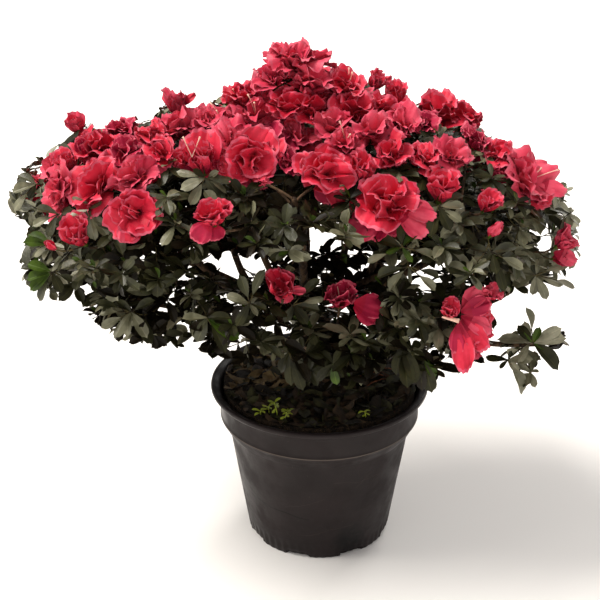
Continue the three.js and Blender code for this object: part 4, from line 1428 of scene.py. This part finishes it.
def whorl(leaves, mass, shoot, draw):
    tip = shoot.tip
    aside_x, aside_y = (WHORL.stray * (draw() - 0.5) for _ in "xy")
    rise = WHORL.rise + WHORL.more_rise * draw()
    axis = unit(WHORL.own * shoot.axis + vec(aside_x, aside_y, rise))
    side = any_side(axis)
    colour = shoot.colour or green_at(mass, tip, draw)
    for count, angle, size, back in WHORL_RINGS:
        for n in range(count):
            aside = WHORL.turn * (draw() - 0.5)
            turn = math.radians(shoot.spin) + 2 * math.pi * (n + aside) / count + back
            wide = math.radians(angle + WHORL.open * (draw() - 0.5))
            way, upper = opened(axis, turned(side, axis, turn), wide)
            way = way - vec(0, 0, WHORL.droop + WHORL.more_droop * draw())
            upper = upper + WHORL.roll * vec(draw() - 0.5, draw() - 0.5, 0)
            length = size * leaf_length(draw)
            # Some leaves take the next darker green, once or twice over: more painted shade among a whorl's
            # leaves
            tone = colour if draw() < WHORL.full_light else DARKER.get(colour, colour)
            tone = tone if draw() < WHORL.next_light else DARKER.get(tone, tone)
            leaves.add(tip - back * axis, way, upper, length, tone, draw, mass)
    for n in range(int(YOUNG.most * draw())):
        wide = math.radians(YOUNG.open + YOUNG.more_open * draw())
        way, upper = opened(axis, turned(side, axis, YOUNG.turn * n + draw()), wide)
        length = LEAF.young * (YOUNG.least + YOUNG.more * draw())
        leaves.add(tip, way, upper, length, "young", draw, mass)


SEEN_LEAF = Values(
    longest=20, low_frame=330, low_gain=1.5, least=0.75, more=0.35, tilt=0.7, away=0.6, roll=(1.6, 0.8),
    up=1.1, front=1.1,
)


# The leaves of a shoot whose tips are given in the frame
def seen_leaves(leaves, stalks, shoot, draw):
    way = unit(shoot.tip - EYE)
    for across, down, colour in shoot.tips:
        reach = at_depth((across, down), depth_of(shoot.tip)) - shoot.tip
        most = SEEN_LEAF.longest * (SEEN_LEAF.low_gain if down > SEEN_LEAF.low_frame else 1)
        length = min(most * (SEEN_LEAF.least + SEEN_LEAF.more * draw()), np.linalg.norm(reach))
        foot = shoot.tip + reach - length * unit(reach)
        reach = reach + SEEN_LEAF.tilt * (draw() - SEEN_LEAF.away) * length * way
        roll_x, roll_y = (roll * (draw() - 0.5) for roll in SEEN_LEAF.roll)
        upper = vec(roll_x, roll_y, SEEN_LEAF.up) - SEEN_LEAF.front * way
        leaves.add(foot, reach, upper, length, colour, draw, placed=True)
        stalks.append((shoot.tip, foot))


SIDE_LEAF = Values(
    apart=9, first=0.35, last=0.93, turn=2.4, open=58, more_open=30, up=0.5, least=0.7, most=0.95,
)


# Leaves set singly along the younger part of a twig
def side_leaves(leaves, mass, twig, draw):
    count = int(twig.length / SIDE_LEAF.apart)
    turn = draw() * 6
    colour = green_at(mass, twig.curve(1), draw)
    for n in range(count):
        share = lerp(SIDE_LEAF.first, SIDE_LEAF.last, (n + draw()) / max(1, count))
        place, axis = twig.curve(share), tangent(twig.curve, share)
        turn += SIDE_LEAF.turn
        out = turned(any_side(axis), axis, turn)
        way, upper = opened(axis, out, math.radians(SIDE_LEAF.open + SIDE_LEAF.more_open * draw()))
        length = lerp(SIDE_LEAF.least, SIDE_LEAF.most, draw()) * leaf_length(draw)
        leaves.add(place, way, upper + vec(0, 0, SIDE_LEAF.up), length, colour, draw, mass)


# Blooms: a petal's columns and rows, and its outline, frill and crumpling as shares of its length
PETAL_COLUMNS = np.linspace(-1, 1, 19)
PETAL_ROWS = (0, 0.34, 0.6, 0.8, 0.92, 1)
PETAL = Values(
    base=0.15, broadest=0.64, narrowing=0.12, drop=0.25, frill=0.022, crumple=0.075, waves=15, curl=1.35,
    twist=0.5, skew=0.2, flatter=0.6, second_wave=0.4, second_pace=1.9, fine_wave=0.3, folds=(1.7, 2.6, 3),
)
ARC_STEPS = 60
# Each kind: shapes made of it, its angles from the axis at its foot and its tip, and its width, ruffle,
# waves and cup
PETAL_FORMS = {
    "outer": (8, 22, 100, 1.04, 0.09, 4.2, 0.3),
    "middle": (8, 15, 68, 1.0, 0.1, 4.4, 0.4),
    "inner": (8, 7, 40, 0.94, 0.1, 4.4, 0.6),
    "cup": (5, 16, 40, 0.84, 0.09, 5, 0.9),
    "wrap": (4, 15, -22, 0.62, 0.03, 3, 1.7),
    "loose": (6, -6, 20, 1.0, 0.06, 4, 0.3),
}
# Rings of petals for each form: kind, how many, length as a share of the bloom's radius, and stray
FORMS = {
    "open": (
        ("outer", 5, 1.34, 0.6), ("middle", 5, 1.3, 0.8), ("inner", 4, 1.2, 1.1), ("inner", 2, 1.0, 1.1),
    ),
    "half": (("cup", 5, 1.75, 0.1), ("cup", 5, 1.6, 0.14), ("inner", 3, 1.25, 0.2)),
    "bud": (("wrap", 4, 2.3, 0.06), ("wrap", 3, 2.1, 0.08)),
}
# How much the shapes of one kind differ, as shares, or for the tip's angle in degrees
PETAL_STRAY = {"start": 0.2, "end": 24, "width": 0.12, "ruffle": 0.25, "waves": 0.2}
# How much blooms and their petals differ: an oval bloom's width, a ring's turn on the one before, a
# petal's place in its ring, and its length
BLOOM_STRAY = Values(wide=(0.84, 1.18), ring=(0.55, 0.3), place=0.25, length=(0.76, 0.46))
# The dark and fair tint of each red, and how the reds are dealt out. Deep, where it is given to seen
# blooms and petals in shade, is painted shade.
REDS = {"crimson": ("b91631", "d3324a"), "rose": ("c5304d", "d85066"), "deep": ("941135", "b02042")}
DEALT_REDS = ("crimson", "crimson", "rose", "rose", "deep")


# The middle line of a petal: its angle, and how far out and up it is, at a share along it
def petal_arc(start, end):
    marks = np.linspace(0, 1, ARC_STEPS + 1)
    angles = np.radians(lerp(start, end, marks ** PETAL.curl))[1:]
    outs, ups = (np.concatenate([[0], np.cumsum(part(angles))]) / ARC_STEPS for part in (np.sin, np.cos))

    def at(along):
        angle = math.radians(lerp(start, end, max(0, along) ** PETAL.curl))
        return angle, np.interp(along, marks, outs), np.interp(along, marks, ups)

    return at


# A petal's outline is rounded and frilled: how far along and to the side a point of its grid comes
def petal_spot(across, share, width, skew, phase, edge):
    along = share * (1 - PETAL.drop * abs(across) ** 2.5 * share**1.5)
    along += PETAL.frill * edge * math.sin(PETAL.waves * across + 2 * phase)
    half = 0.5 * width * lerp(PETAL.base, 1, math.sin(0.5 * math.pi * min(1, share / PETAL.broadest)))
    half *= 1 - PETAL.narrowing * (max(0, share - PETAL.broadest) / (1 - PETAL.broadest)) ** 2
    return along, across * half + skew * along * along


# A petal stands on the Z axis and opens away from it along X, with its edge waved
def petal_shape(start, end, width, ruffle, waves, cup, draw):
    bm, spots = sheet(PETAL_COLUMNS, PETAL_ROWS)
    phase, twist, skew = 6.3 * draw(), PETAL.twist * (draw() - 0.5), PETAL.skew * (draw() - 0.5)
    arc = petal_arc(start, end)
    for vert, across, share in spots:
        edge = max(abs(across) ** 3 * min(1, 1.3 * share), share**3)
        along, side = petal_spot(across, share, width, skew, phase, edge)
        round_edge = waves * across * (1.8 - 0.8 * share)
        inward = cup * side * side / width * (1 - PETAL.flatter * along)
        second = PETAL.second_wave * math.sin(PETAL.second_pace * round_edge - phase)
        inward += ruffle * edge * (math.sin(round_edge + phase) + second)
        inward += PETAL.fine_wave * ruffle * edge * math.sin(PETAL.waves * across + phase)
        fold = [scale * value for scale, value in zip(PETAL.folds, (across, along, phase))]
        inward += twist * side * along + PETAL.crumple * along * noise.noise(Vector(fold))
        angle, out, up = arc(along)
        vert.co = (out - inward * math.cos(angle), side, up + inward * math.sin(angle))
    paint_petal(bm)
    bmesh.ops.reverse_faces(bm, faces=bm.faces)
    return kept_mesh(bm)


# The second finish is for a petal's outer edge, paler as painted highlight, and the third for its foot
def paint_petal(bm):
    columns, rows = len(PETAL_COLUMNS) - 1, len(PETAL_ROWS) - 1
    for n, face in enumerate(bm.faces):
        across, row = n % columns, n // columns
        if row == rows - 1 or (across in (0, columns - 1) and row > 1):
            face.material_index = 1
        elif row == 0:
            face.material_index = 2


def petal_kinds():
    draw = seeded_draws(SEEDS.petals)

    def about(value, part):
        stray = PETAL_STRAY[part]
        return value * (1 - stray + 2 * stray * draw())

    def several(count, start, end, width, ruffle, waves, cup):
        return [
            petal_shape(
                about(start, "start"), end + PETAL_STRAY["end"] * (draw() - 0.5), about(width, "width"),
                about(ruffle, "ruffle"), about(waves, "waves"), cup, draw,
            )
            for _ in range(count)
        ]

    return {kind: several(*form) for kind, form in PETAL_FORMS.items()}


PETALS = petal_kinds()


def new_petal(colour, kind, draw, matrix, foot):
    return Values(
        colour=colour, kind=kind, shape=int(draw() * len(PETALS[kind])), matrix=matrix, foot=foot
    )


def bloom_petals(bloom, draw, laid, colour):
    side = any_side(bloom.axis)
    wide = lerp(*BLOOM_STRAY.wide, draw())
    base = np.stack([wide * side, np.cross(bloom.axis, side) / wide, bloom.axis], axis=-1)
    turn = 6.3 * draw()
    for kind, count, size, stray in FORMS[bloom.form]:
        turn += BLOOM_STRAY.ring[0] + BLOOM_STRAY.ring[1] * draw()
        for n in range(count):
            angle = turn + 2 * math.pi * (n + BLOOM_STRAY.place * (draw() - 0.5)) / count
            lean_x, lean_y = (Matrix.Rotation(stray * (draw() - 0.5), 3, way) for way in "XY")
            spin = Matrix.Rotation(angle, 3, "Z")
            least, more = BLOOM_STRAY.length
            length = bloom.radius * size * (least + more * draw())
            matrix = base @ np.array(spin @ (lean_x @ lean_y)) * length
            laid.append(new_petal(colour, kind, draw, matrix, bloom.foot))


# A petal that stands out has its foot a little behind its tip, and its inner side turned up as it faces
# the front
PETAL_SEEN = Values(foot_back=4, up=0.4)


def seen_petals(laid, draw):
    hearts = np.array([bloom.heart for bloom in blooms if bloom.seen])
    places = np.stack(in_frame(hearts), axis=-1)
    for across, down, tip_across, tip_down, wide, colour, back in SEEN_PETALS:
        depth = depth_of(hearts[np.linalg.norm(places - (across, down), axis=1).argmin()]) + back
        foot = at_depth((across, down), depth + PETAL_SEEN.foot_back)
        tip = at_depth((tip_across, tip_down), depth)
        length = np.linalg.norm(tip - foot)
        way = (tip - foot) / length
        face = unit(EYE - foot) + vec(0, 0, PETAL_SEEN.up)
        face = unit(face - (face @ way) * way)
        side = np.cross(way, -face) * wide * depth / FOCAL
        matrix = np.stack([-face * length, side, way * length], axis=-1)
        laid.append(new_petal(colour, "loose", draw, matrix, foot))


def petal_copies(laid, colour):
    made = []
    for kind, shapes in PETALS.items():
        for n, shape in enumerate(shapes):
            own = [petal for petal in laid if (petal.colour, petal.kind, petal.shape) == (colour, kind, n)]
            if own:
                matrices = np.array([petal.matrix for petal in own])
                feet = np.array([petal.foot for petal in own])
                made.append((shape, moved_copies(shape, matrices, feet)))
    return made


# The calyx: a small green cup under each bloom, with five points
CALYX = {
    "profile": ((0.04, -0.25), (0.12, -0.1), (0.2, 0.1), (0.26, 0.42)), "turns": 10, "rim": 0.3, "points": 5,
    "point": 0.2, "open": 0.62, "closed": 0.9,
}


def calyx_shape():
    bm = spun(CALYX["profile"], CALYX["turns"])
    for vert in bm.verts:
        turn = round(math.degrees(math.atan2(vert.co.y, vert.co.x)))
        if vert.co.z > CALYX["rim"] and turn % (360 // CALYX["points"]) == 0:
            vert.co.z += CALYX["point"]
    return kept_mesh(bm)


def calyx_matrix(bloom):
    side = any_side(bloom.axis)
    scale = CALYX["open" if bloom.form == "open" else "closed"] * bloom.radius
    return np.stack([side, np.cross(bloom.axis, side), bloom.axis], axis=-1) * scale


# The threads of a bloom. Two of them stand in front of the bloom at the upper left.
STAMENS = Values(share=0.1, count=2, turn=2.1, radius=0.42, tip=0.4, tip_from=0.95)
STAMENS_SEEN = Values(foot=(192, 157), ends=((183, 137), (200, 137)), foot_ahead=12, ahead=24)
# The pale tube of the bloom that is seen from its side, at the lower right
TUBE = Values(start=(442, 317), end=(459, 321), ahead=2, foot=0.8, mouth=2.4)


# How far ahead of the camera the seen bloom nearest to a spot in the frame is
def bloom_depth(spot):
    def off_spot(heart):
        across, down = in_frame(heart)
        return math.hypot(across - spot[0], down - spot[1])

    return depth_of(min((bloom.heart for bloom in blooms if bloom.seen), key=off_spot))


def stamen_curves(draw):
    curves = []
    for bloom in blooms:
        if bloom.form != "bud" and draw() < STAMENS.share:
            side = any_side(bloom.axis)
            for n in range(STAMENS.count):
                out = turned(side, bloom.axis, STAMENS.turn * n + draw())
                foot = bloom.foot + 0.5 * bloom.radius * bloom.axis
                way = unit(bloom.axis + 0.35 * out) * bloom.radius * (0.8 + 0.3 * draw())
                curves.append(bezier(foot, foot + 0.4 * way, foot + 0.8 * way, foot + way + 2 * out))
    depth = bloom_depth(STAMENS_SEEN.foot)
    for end in STAMENS_SEEN.ends:
        foot = at_depth(STAMENS_SEEN.foot, depth - STAMENS_SEEN.foot_ahead)
        tip = at_depth(end, depth - STAMENS_SEEN.ahead)
        curves.append(bezier(foot, lerp(foot, tip, 0.3), lerp(foot, tip, 0.7), tip))
    return curves


def tube_curve():
    depth = bloom_depth(TUBE.end) - TUBE.ahead
    return straight(at_depth(TUBE.start, depth), at_depth(TUBE.end, depth))


# Pot, soil and litter

# The pot's outline, from the middle of its underside up its outside, over its lip and down its inside
def pot_profile():
    under = [(0, 1.6), (50, 1.6), (56, 1.2), (57.5, 0), (BASE_R - 0.8, 0), (BASE_R, 0.8), (BASE_R + 0.4, 3.6)]
    heights = (4.4, 8, 12, 15, 18, 30, 50, 75, 98)
    wall = [(BASE_R + (SHOULDER_R - BASE_R) * z / SHOULDER_FOOT, z) for z in heights]
    shoulder = [
        (SHOULDER_R, SHOULDER_FOOT), (SHOULDER_R + 0.7, SHOULDER_FOOT + 1.4),
        (BAND_R - 3.4, SHOULDER_FOOT + 5), (BAND_R - 1.2, SHOULDER_FOOT + 9.5),
    ]
    bead = ((-0.5, -2), (0.25, -1.4), (0.75, -0.6), (0.75, 0.4), (0.2, 1.2), (0.1, 4))
    band = [(BAND_R + out, BAND_FOOT + up) for out, up in bead]
    band += [(BAND_R + out, POT_H - down) for out, down in ((0.5, 12), (0.9, 7.4), (2.2, 6.2))]
    roll = (
        (3.4, 5.2), (1.1, 4.6), (0.2, 3.4), (0, 2.2), (0.3, 1), (1.2, 0.2), (2.4, 0), (3, 0.35), (3.8, 0.4),
        (4.4, 0.9), (5.4, 1.1),
    )
    lip = [(LIP_R - inward, POT_H - down) for inward, down in roll]
    inside = [
        (BAND_R + 0.6, POT_H - 3), (BAND_R - WALL + 0.6, POT_H - 7), (BAND_R - WALL, BAND_FOOT),
        (SHOULDER_R - WALL, SHOULDER_FOOT), (BASE_R - WALL + 0.6, FLOOR + 2), (BASE_R - WALL - 1, FLOOR),
        (0, FLOOR),
    ]
    return under + wall + shoulder + band + lip + inside


# Whether a point of the pot is on the low outside of its wall, or on the ring that it stands on
def at_the_foot(r, z):
    inner = BASE_R - 2 + (SHOULDER_R - BASE_R) * z / SHOULDER_FOOT
    return (r > inner and z < RIBS.top + 4) or (z < 1 and r > 56)


# How far the wall is drawn in at its foot, by its fine ribs and by the notches of its drains
def drawn_in(r, turn, z):
    step = 2 * math.pi / NOTCHES.count
    first = math.radians(NOTCHES.first)
    off = abs((turn - first + step / 2) % step - step / 2) * BASE_R
    fade = max(0, min(1, (RIBS.top - z) / RIBS.fade))
    pull = RIBS.deep * (0.5 + 0.5 * math.cos(RIBS.count * turn)) * fade
    if off < NOTCHES.wide / 2 and z < NOTCHES.high and r > BASE_R - 3:
        pull += NOTCHES.deep * min(1, (NOTCHES.wide / 2 - off) / NOTCHES.corner)
    return pull


def pot_piece():
    bm = spun(pot_profile(), POT_TURNS)
    for vert in bm.verts:
        r, turn, z = math.hypot(vert.co.x, vert.co.y), math.atan2(vert.co.y, vert.co.x), vert.co.z
        if at_the_foot(r, z):
            pull = drawn_in(r, turn, z)
            vert.co.x *= (r - pull) / r
            vert.co.y *= (r - pull) / r
    single("nursery_pot", bm, pot_material(), ["pot"])


# The mix: a level middle, a slope to its edge, and a bank against the pot's wall that the plain solid
# doesn't have. Its lumps each have a height, a slice of noise and a scale, and calm down at the wall.
SOIL = Values(
    level=27, slope=57, bank=4.5, bank_from=62, bank_wide=22, wall=84.5, calm=8,
    lumps=((2.2, 3, 0.045), (1.3, 8, 0.13)), turns=120, rings=range(83, 0, -3),
)


def soil_height(x, y):
    r = math.hypot(x, y)
    middle, edge = SOIL_MIDDLE - 1, SOIL_EDGE - 1
    rise = lerp(middle, edge, min(1, max(0, r - SOIL.level) / SOIL.slope))
    lump = sum(high * noise.noise(Vector((x, y, part)) * scale) for high, part, scale in SOIL.lumps)
    rise += SOIL.bank * max(0, (r - SOIL.bank_from) / SOIL.bank_wide) ** 2
    return rise + lump * min(1, max(0, SOIL.wall - r) / SOIL.calm)


# The mix fills the pot's inside, and the points of its top, first laid at 0, are lifted to their height
def soil_piece():
    inner = [
        (0, FLOOR + 1), (BASE_R - WALL - 2, FLOOR + 1), (SHOULDER_R - WALL - 1, SHOULDER_FOOT),
        (BAND_R - WALL - 1, BAND_FOOT + 2), (BAND_R - WALL - 1, SOIL_EDGE - 1 + SOIL.bank),
    ]
    bm = spun([*inner, *((r, 0.0) for r in SOIL.rings), (0, 0.0)], SOIL.turns)
    for vert in bm.verts:
        if abs(vert.co.z) < 1e-6:
            vert.co.z = soil_height(vert.co.x, vert.co.y)
    bmesh.ops.recalc_face_normals(bm, faces=bm.faces)
    single("potting_mix", bm, soil_material(), ["soil"])


# Fallen leaves and flakes of bark lie on the soil, tilted a little, each dealt one of a few colours. Tan
# ones lie at the left, behind the seedlings: paler litter, and painted light where sun falls on the soil
# there.
LITTER = Values(
    count=1500, reach=83, shortest=8, longest=27, favour=1.3, slope=0.5, tilt=0.9, turned=0.25, lift=0.6,
    heap=2.4, off_wall=0.5, tan_right=-20, tan_front=-25, tan=0.5,
)
LITTER_COLOURS = {
    "brown": ("21180f", "3e2f1e"), "olive": ("222113", "3d3c21"), "black": ("12100b", "231c14"),
    "tan": ("4c3c24", "6f5d3c"),
}
DEALT = ("brown", "olive", "black")


def litter_rows(draw):
    litter = Leaves()
    for _ in range(LITTER.count):
        r, turn = LITTER.reach * math.sqrt(draw()), 2 * math.pi * draw()
        x, y = r * math.cos(turn), r * math.sin(turn)
        length = lerp(LITTER.shortest, LITTER.longest, draw() ** LITTER.favour)
        heading = 2 * math.pi * draw()
        way = vec(math.cos(heading), math.sin(heading), LITTER.slope * (draw() - 0.5))
        tilt_x, tilt_y = (LITTER.tilt * (draw() - 0.5) for _ in "xy")
        upper = vec(tilt_x, tilt_y, 1 if draw() > LITTER.turned else -1)
        middle = vec(x, y, soil_height(x, y) + LITTER.lift + LITTER.heap * draw())
        place = middle - 0.5 * length * way * vec(1, 1, 0)
        furthest = max(np.hypot(*(place + length * way)[:2]), np.hypot(*place[:2]))
        if furthest < BAND_R - WALL - LITTER.off_wall and r > TRUNK.foot + 1:
            colour = DEALT[int(draw() * len(DEALT))]
            if x < LITTER.tan_right and y > LITTER.tan_front and draw() < LITTER.tan:
                colour = "tan"
            litter.add(place, way, upper, length, colour, draw, placed=True)
    return litter


# Thin dry twigs that lie on the soil behind the trunk's right side. Their sizes are half the length, the
# height and the bend, each from a least value by up to as much more.
DRY_TWIGS = Values(
    count=9, at=(44, 2), stray=30, turn=0.9, sizes=((13, 9), (4, 6), (3, 5)), foot=0.7, tip=0.4,
)


def fallen_twigs(draw):
    curves = []
    for _ in range(DRY_TWIGS.count):
        x, y = (middle + DRY_TWIGS.stray * (draw() - 0.5) for middle in DRY_TWIGS.at)
        turn = DRY_TWIGS.turn * (draw() - 0.5)
        half, lift, bend = (least + more * draw() for least, more in DRY_TWIGS.sizes)
        along, up = half * vec(math.cos(turn), math.sin(turn), 0), vec(0, 0, bend)
        middle = vec(x, y, soil_height(x, y) + lift)
        start, end = middle - along - up, middle + along - up
        curves.append(bezier(start, middle - 0.3 * along + up, middle + 0.4 * along, end))
    return curves


# Self-sown seedlings on the soil: a few leaflets on a bent stem. Each has a place and a height.
SEEDLINGS = [(-36, -61, 17), (-30, -67, 11), (-43, -57, 9), (-50, -62, 7), (-27, -60, 8), (38, -66, 9)]
SEEDLING = Values(leaflets=5, turn=2.4, apart=0.12, shortest=4.5, longest=8, foot=0.6, tip=0.4)


def seedlings(draw):
    sprouts, stems = Leaves(), []
    for x, y, tall in SEEDLINGS:
        foot = vec(x, y, soil_height(x, y) - 1)
        lean = vec(draw() - 0.5, draw() - 0.6, 0)
        up = vec(0, 0, 1)
        top = foot + tall * up + 0.5 * tall * lean
        curve = bezier(foot, foot + 0.5 * tall * up, top - 0.2 * tall * up, top)
        stems.append(tapered(fine_ring, curve, SEEDLING.foot, SEEDLING.tip))
        for n in range(SEEDLING.leaflets):
            turn = SEEDLING.turn * n + draw()
            way = vec(math.cos(turn), math.sin(turn), 0.5 * (draw() - 0.2))
            length = lerp(SEEDLING.shortest, SEEDLING.longest, draw())
            sprouts.add(curve(1 - SEEDLING.apart * n), way, up, length, "sprout", draw, placed=True)
    return sprouts, stems


# Stage, light and camera
AIM = (-0.02, 0, 0.28)
KEY_ANGLE = math.radians(36)
# Each light: name, kind, place, strength, colour and how soft it is
LIGHTS = (
    ("key", "SUN", (-1.9, 0.1, 3.7), 4.3, (1, 0.95, 0.88), {"angle": KEY_ANGLE}),
    ("fill", "AREA", (0.6, -2.0, 1.1), 6, (1, 0.94, 0.9), {"size": 1.6}),
    ("back", "AREA", (1.5, 2.6, 2.6), 60, (1, 0.97, 0.92), {"size": 1.6}),
    ("side", "AREA", (-2.6, -0.4, 0.9), 14, (1, 0.93, 0.84), {"size": 0.9}),
)
STUDIO = {"Color": (1, 0.96, 0.94, 1), "Strength": 0.5}


def build_stage():
    bm = bmesh.new()
    bmesh.ops.create_grid(bm, x_segments=2, y_segments=2, size=20)
    mesh = bpy.data.meshes.new("floor")
    bm.to_mesh(mesh)
    bm.free()
    material, tree, shader, place = new_material("pale_floor", roughness=0.9, specular=0.1)
    colour = blend_colours(tree, mottle(tree, place, scale=3, detail=2), "f4f3f1", "f8f7f5")
    link(tree, (colour, shader.inputs["Base Color"]))
    mesh.materials.append(material)
    floor = bpy.data.objects.new("floor", mesh)
    bpy.context.scene.collection.objects.link(floor)


def new_light(name, kind, place, strength, colour, softness):
    data = bpy.data.lights.new(name, kind)
    data.energy, data.color = strength, colour
    for title, value in softness.items():
        setattr(data, title, value)
    lamp = bpy.data.objects.new(name, data)
    lamp.location = place
    lamp.rotation_euler = (Vector(AIM) - Vector(place)).to_track_quat("-Z", "Y").to_euler()
    bpy.context.scene.collection.objects.link(lamp)


def light_scene():
    for light in LIGHTS:
        new_light(*light)
    world = bpy.data.worlds.new("studio")
    world.use_nodes = True
    for title, value in STUDIO.items():
        world.node_tree.nodes["Background"].inputs[title].default_value = value
    bpy.context.scene.world = world
    bpy.context.scene.view_settings.view_transform = "Standard"


def place_camera():
    data = bpy.data.cameras.new("camera")
    data.sensor_width = 36
    data.lens = FOCAL * data.sensor_width / (2 * MIDDLE)
    data.clip_end = 30
    camera = bpy.data.objects.new("camera", data)
    camera.location = EYE * MM
    camera.rotation_euler = (math.pi / 2 - PITCH, 0, 0)
    bpy.context.scene.collection.objects.link(camera)
    bpy.context.scene.camera = camera


# Building
OLD_WOOD = 0.9
STALK = Values(radius=0.5, shortest=1)
# For each green: the blade's dark and light, its underside, and the rib's dark, light and underside. Shade,
# dark, mid, grey and pale are shaded and lit copies of one leaf: painted shade and painted light. Young is
# the fresh green of young leaves, and is also painted light on leaves lit through from behind.
GREENS = {
    "shade": ("14110a", "1d180e", "20160e", "1c180e", "272113", "281d12"),
    "dark": ("1e1e10", "2d2d18", "2e2617", "2a2a16", "3b3a20", "382f1c"),
    "mid": ("2c2d1b", "3f4029", "3d3521", "3b3c26", "535335", "4d452c"),
    "grey": ("57563f", "77765d", "5e5740", "6b694f", "8a886d", "726c51"),
    "pale": ("6c6a53", "8e8c74", "6b644c", "7d7a60", "a09d84", "7c7560"),
    "young": ("2a3a10", "3e5216", "3e4e1e", "3e521e", "52662a", "546834"),
}
GLOSS = {"shade": 0.12, "dark": 0.14, "mid": 0.36, "grey": 0.5, "pale": 0.5, "young": 0.15}
LEAF_ROUGHNESS = 0.42


def greens(kind, first):
    return {
        colour: leaf_material(kind + colour, *tones[first : first + 3], LEAF_ROUGHNESS, GLOSS[colour])
        for colour, tones in GREENS.items()
    }


blades, ribs = greens("leaf_", 0), greens("rib_", 3)
bark = bark_material("bark", "231811", "56422f")
old_ring, fine_ring, thread_ring = ring_shape(7, 8), ring_shape(5, 5), ring_shape(4, 5)
mass_names = [mass.name for mass in masses]
mass_nodes = ["mass_" + name for name in mass_names]


# Lays the leaves of every mass, and gives the tubes of its stem and twigs: old wood and fine wood
def dress_masses(leaves):
    old_wood, fine_wood, stalks = [], [], []
    for n, (mass, growth) in enumerate(zip(masses, growths)):
        draw = seeded_draws(SEEDS.leaves + n)
        old_wood.append(tapered(old_ring, growth.stem, STEM.foot, STEM.tip))
        for twig in growth.twigs:
            if twig.foot > OLD_WOOD:
                old_wood.append(tapered(old_ring, twig.curve, twig.foot, twig.tip))
            else:
                fine_wood.append(tapered(fine_ring, twig.curve, twig.foot, twig.tip))
            if twig.kind == "shoot":
                side_leaves(leaves, mass, twig, draw)
        for shoot in growth.shoots:
            if shoot.tips:
                seen_leaves(leaves, stalks, shoot, draw)
            else:
                whorl(leaves, mass, shoot, draw)
    draw = seeded_draws(SEEDS.leaves + len(masses))
    for place in SEEN_SPRAYS:
        twig, shoot = bough_spray(*place)
        fine_wood.append(tapered(fine_ring, twig.curve, twig.foot, twig.tip))
        whorl(leaves, None, shoot, draw)
    for start, end in stalks:
        if np.linalg.norm(end - start) > STALK.shortest:
            fine_wood.append(tapered(fine_ring, straight(start, end), STALK.radius, STALK.radius))
    return old_wood, fine_wood


def build_wood_and_leaves():
    limb_piece("trunk_bark", ["trunk"], TRUNK_BARK, bark, ["trunk"])
    limb_piece("bough_bark", mass_names, BOUGH_BARK, bark, ["bough_" + name for name in mass_names])
    leaves = Leaves()
    old_wood, fine_wood = dress_masses(leaves)
    young_bark = bark_material("young_bark", "211a10", "4d4628")
    joined("twigs", [(old_ring, np.array(old_wood))], [bark], mass_nodes)
    joined("fine_twigs", [(fine_ring, np.array(fine_wood))], [young_bark], mass_nodes)
    leaves.fit_to_crown(blooms)
    for colour in GREENS:
        finishes = [blades[colour], ribs[colour]]
        joined("leaves_" + colour, leaves.copies(colour), finishes, mass_nodes)


def build_blossom(draw):
    laid = []
    for bloom in blooms:
        bloom_petals(bloom, draw, laid, bloom.colour or DEALT_REDS[int(draw() * len(DEALT_REDS))])
    seen_petals(laid, draw)
    calyx = calyx_shape()
    matrices = np.array([calyx_matrix(bloom) for bloom in blooms])
    feet = np.array([bloom.foot for bloom in blooms])
    copies = [(calyx, moved_copies(calyx, matrices, feet))]
    joined("calyces", copies, [blades["young"]], mass_nodes)
    # The paler finish of the petals' outer edges is painted highlight
    edge = petal_material("petal_edge_highlight", "c23e58", "d05c70")
    heart = petal_material("petal_heart", "940f2e", "b01a38")
    for colour, (deep, fair) in REDS.items():
        finishes = [petal_material("petal_" + colour, deep, fair), edge, heart]
        joined("petals_" + colour, petal_copies(laid, colour), finishes, mass_nodes)


def build_threads(draw):
    def radius_at(t):
        return STAMENS.radius + STAMENS.tip * (t > STAMENS.tip_from)

    threads = [laid_tube(thread_ring, curve, radius_at) for curve in stamen_curves(draw)]
    threads.append(tapered(thread_ring, tube_curve(), TUBE.foot, TUBE.mouth))
    pale = petal_material("stamen", "d59a92", "efc9b2")
    joined("stamens", [(thread_ring, np.array(threads))], [pale], mass_nodes)


def build_seedlings_and_litter(draw):
    sprouts, stems = seedlings(seeded_draws(SEEDS.litter + 1))
    curves = fallen_twigs(draw)
    dry_wood = [tapered(fine_ring, curve, DRY_TWIGS.foot, DRY_TWIGS.tip) for curve in curves]
    dry_bark = bark_material("dry_twig", "3d2216", "7a4a30")
    joined("dry_twigs", [(fine_ring, np.array(dry_wood))], [dry_bark], [])
    sprout = leaf_material("sprout", "7f8f2c", "a4b23c", "94a048")
    joined("seedling_leaves", sprouts.copies("sprout"), [sprout, sprout], [])
    joined("seedling_stems", [(fine_ring, np.array(stems))], [sprout], [])
    litter = litter_rows(seeded_draws(SEEDS.litter))
    for colour, (dark, light) in LITTER_COLOURS.items():
        flake = litter_material("litter_" + colour, dark, light)
        joined("litter_" + colour, litter.copies(colour), [flake, flake], [])


place_camera()
build_stage()
light_scene()
build_wood_and_leaves()
blossom_draw = seeded_draws(SEEDS.petals + 1)
build_blossom(blossom_draw)
build_threads(blossom_draw)
pot_piece()
soil_piece()
build_seedlings_and_litter(blossom_draw)
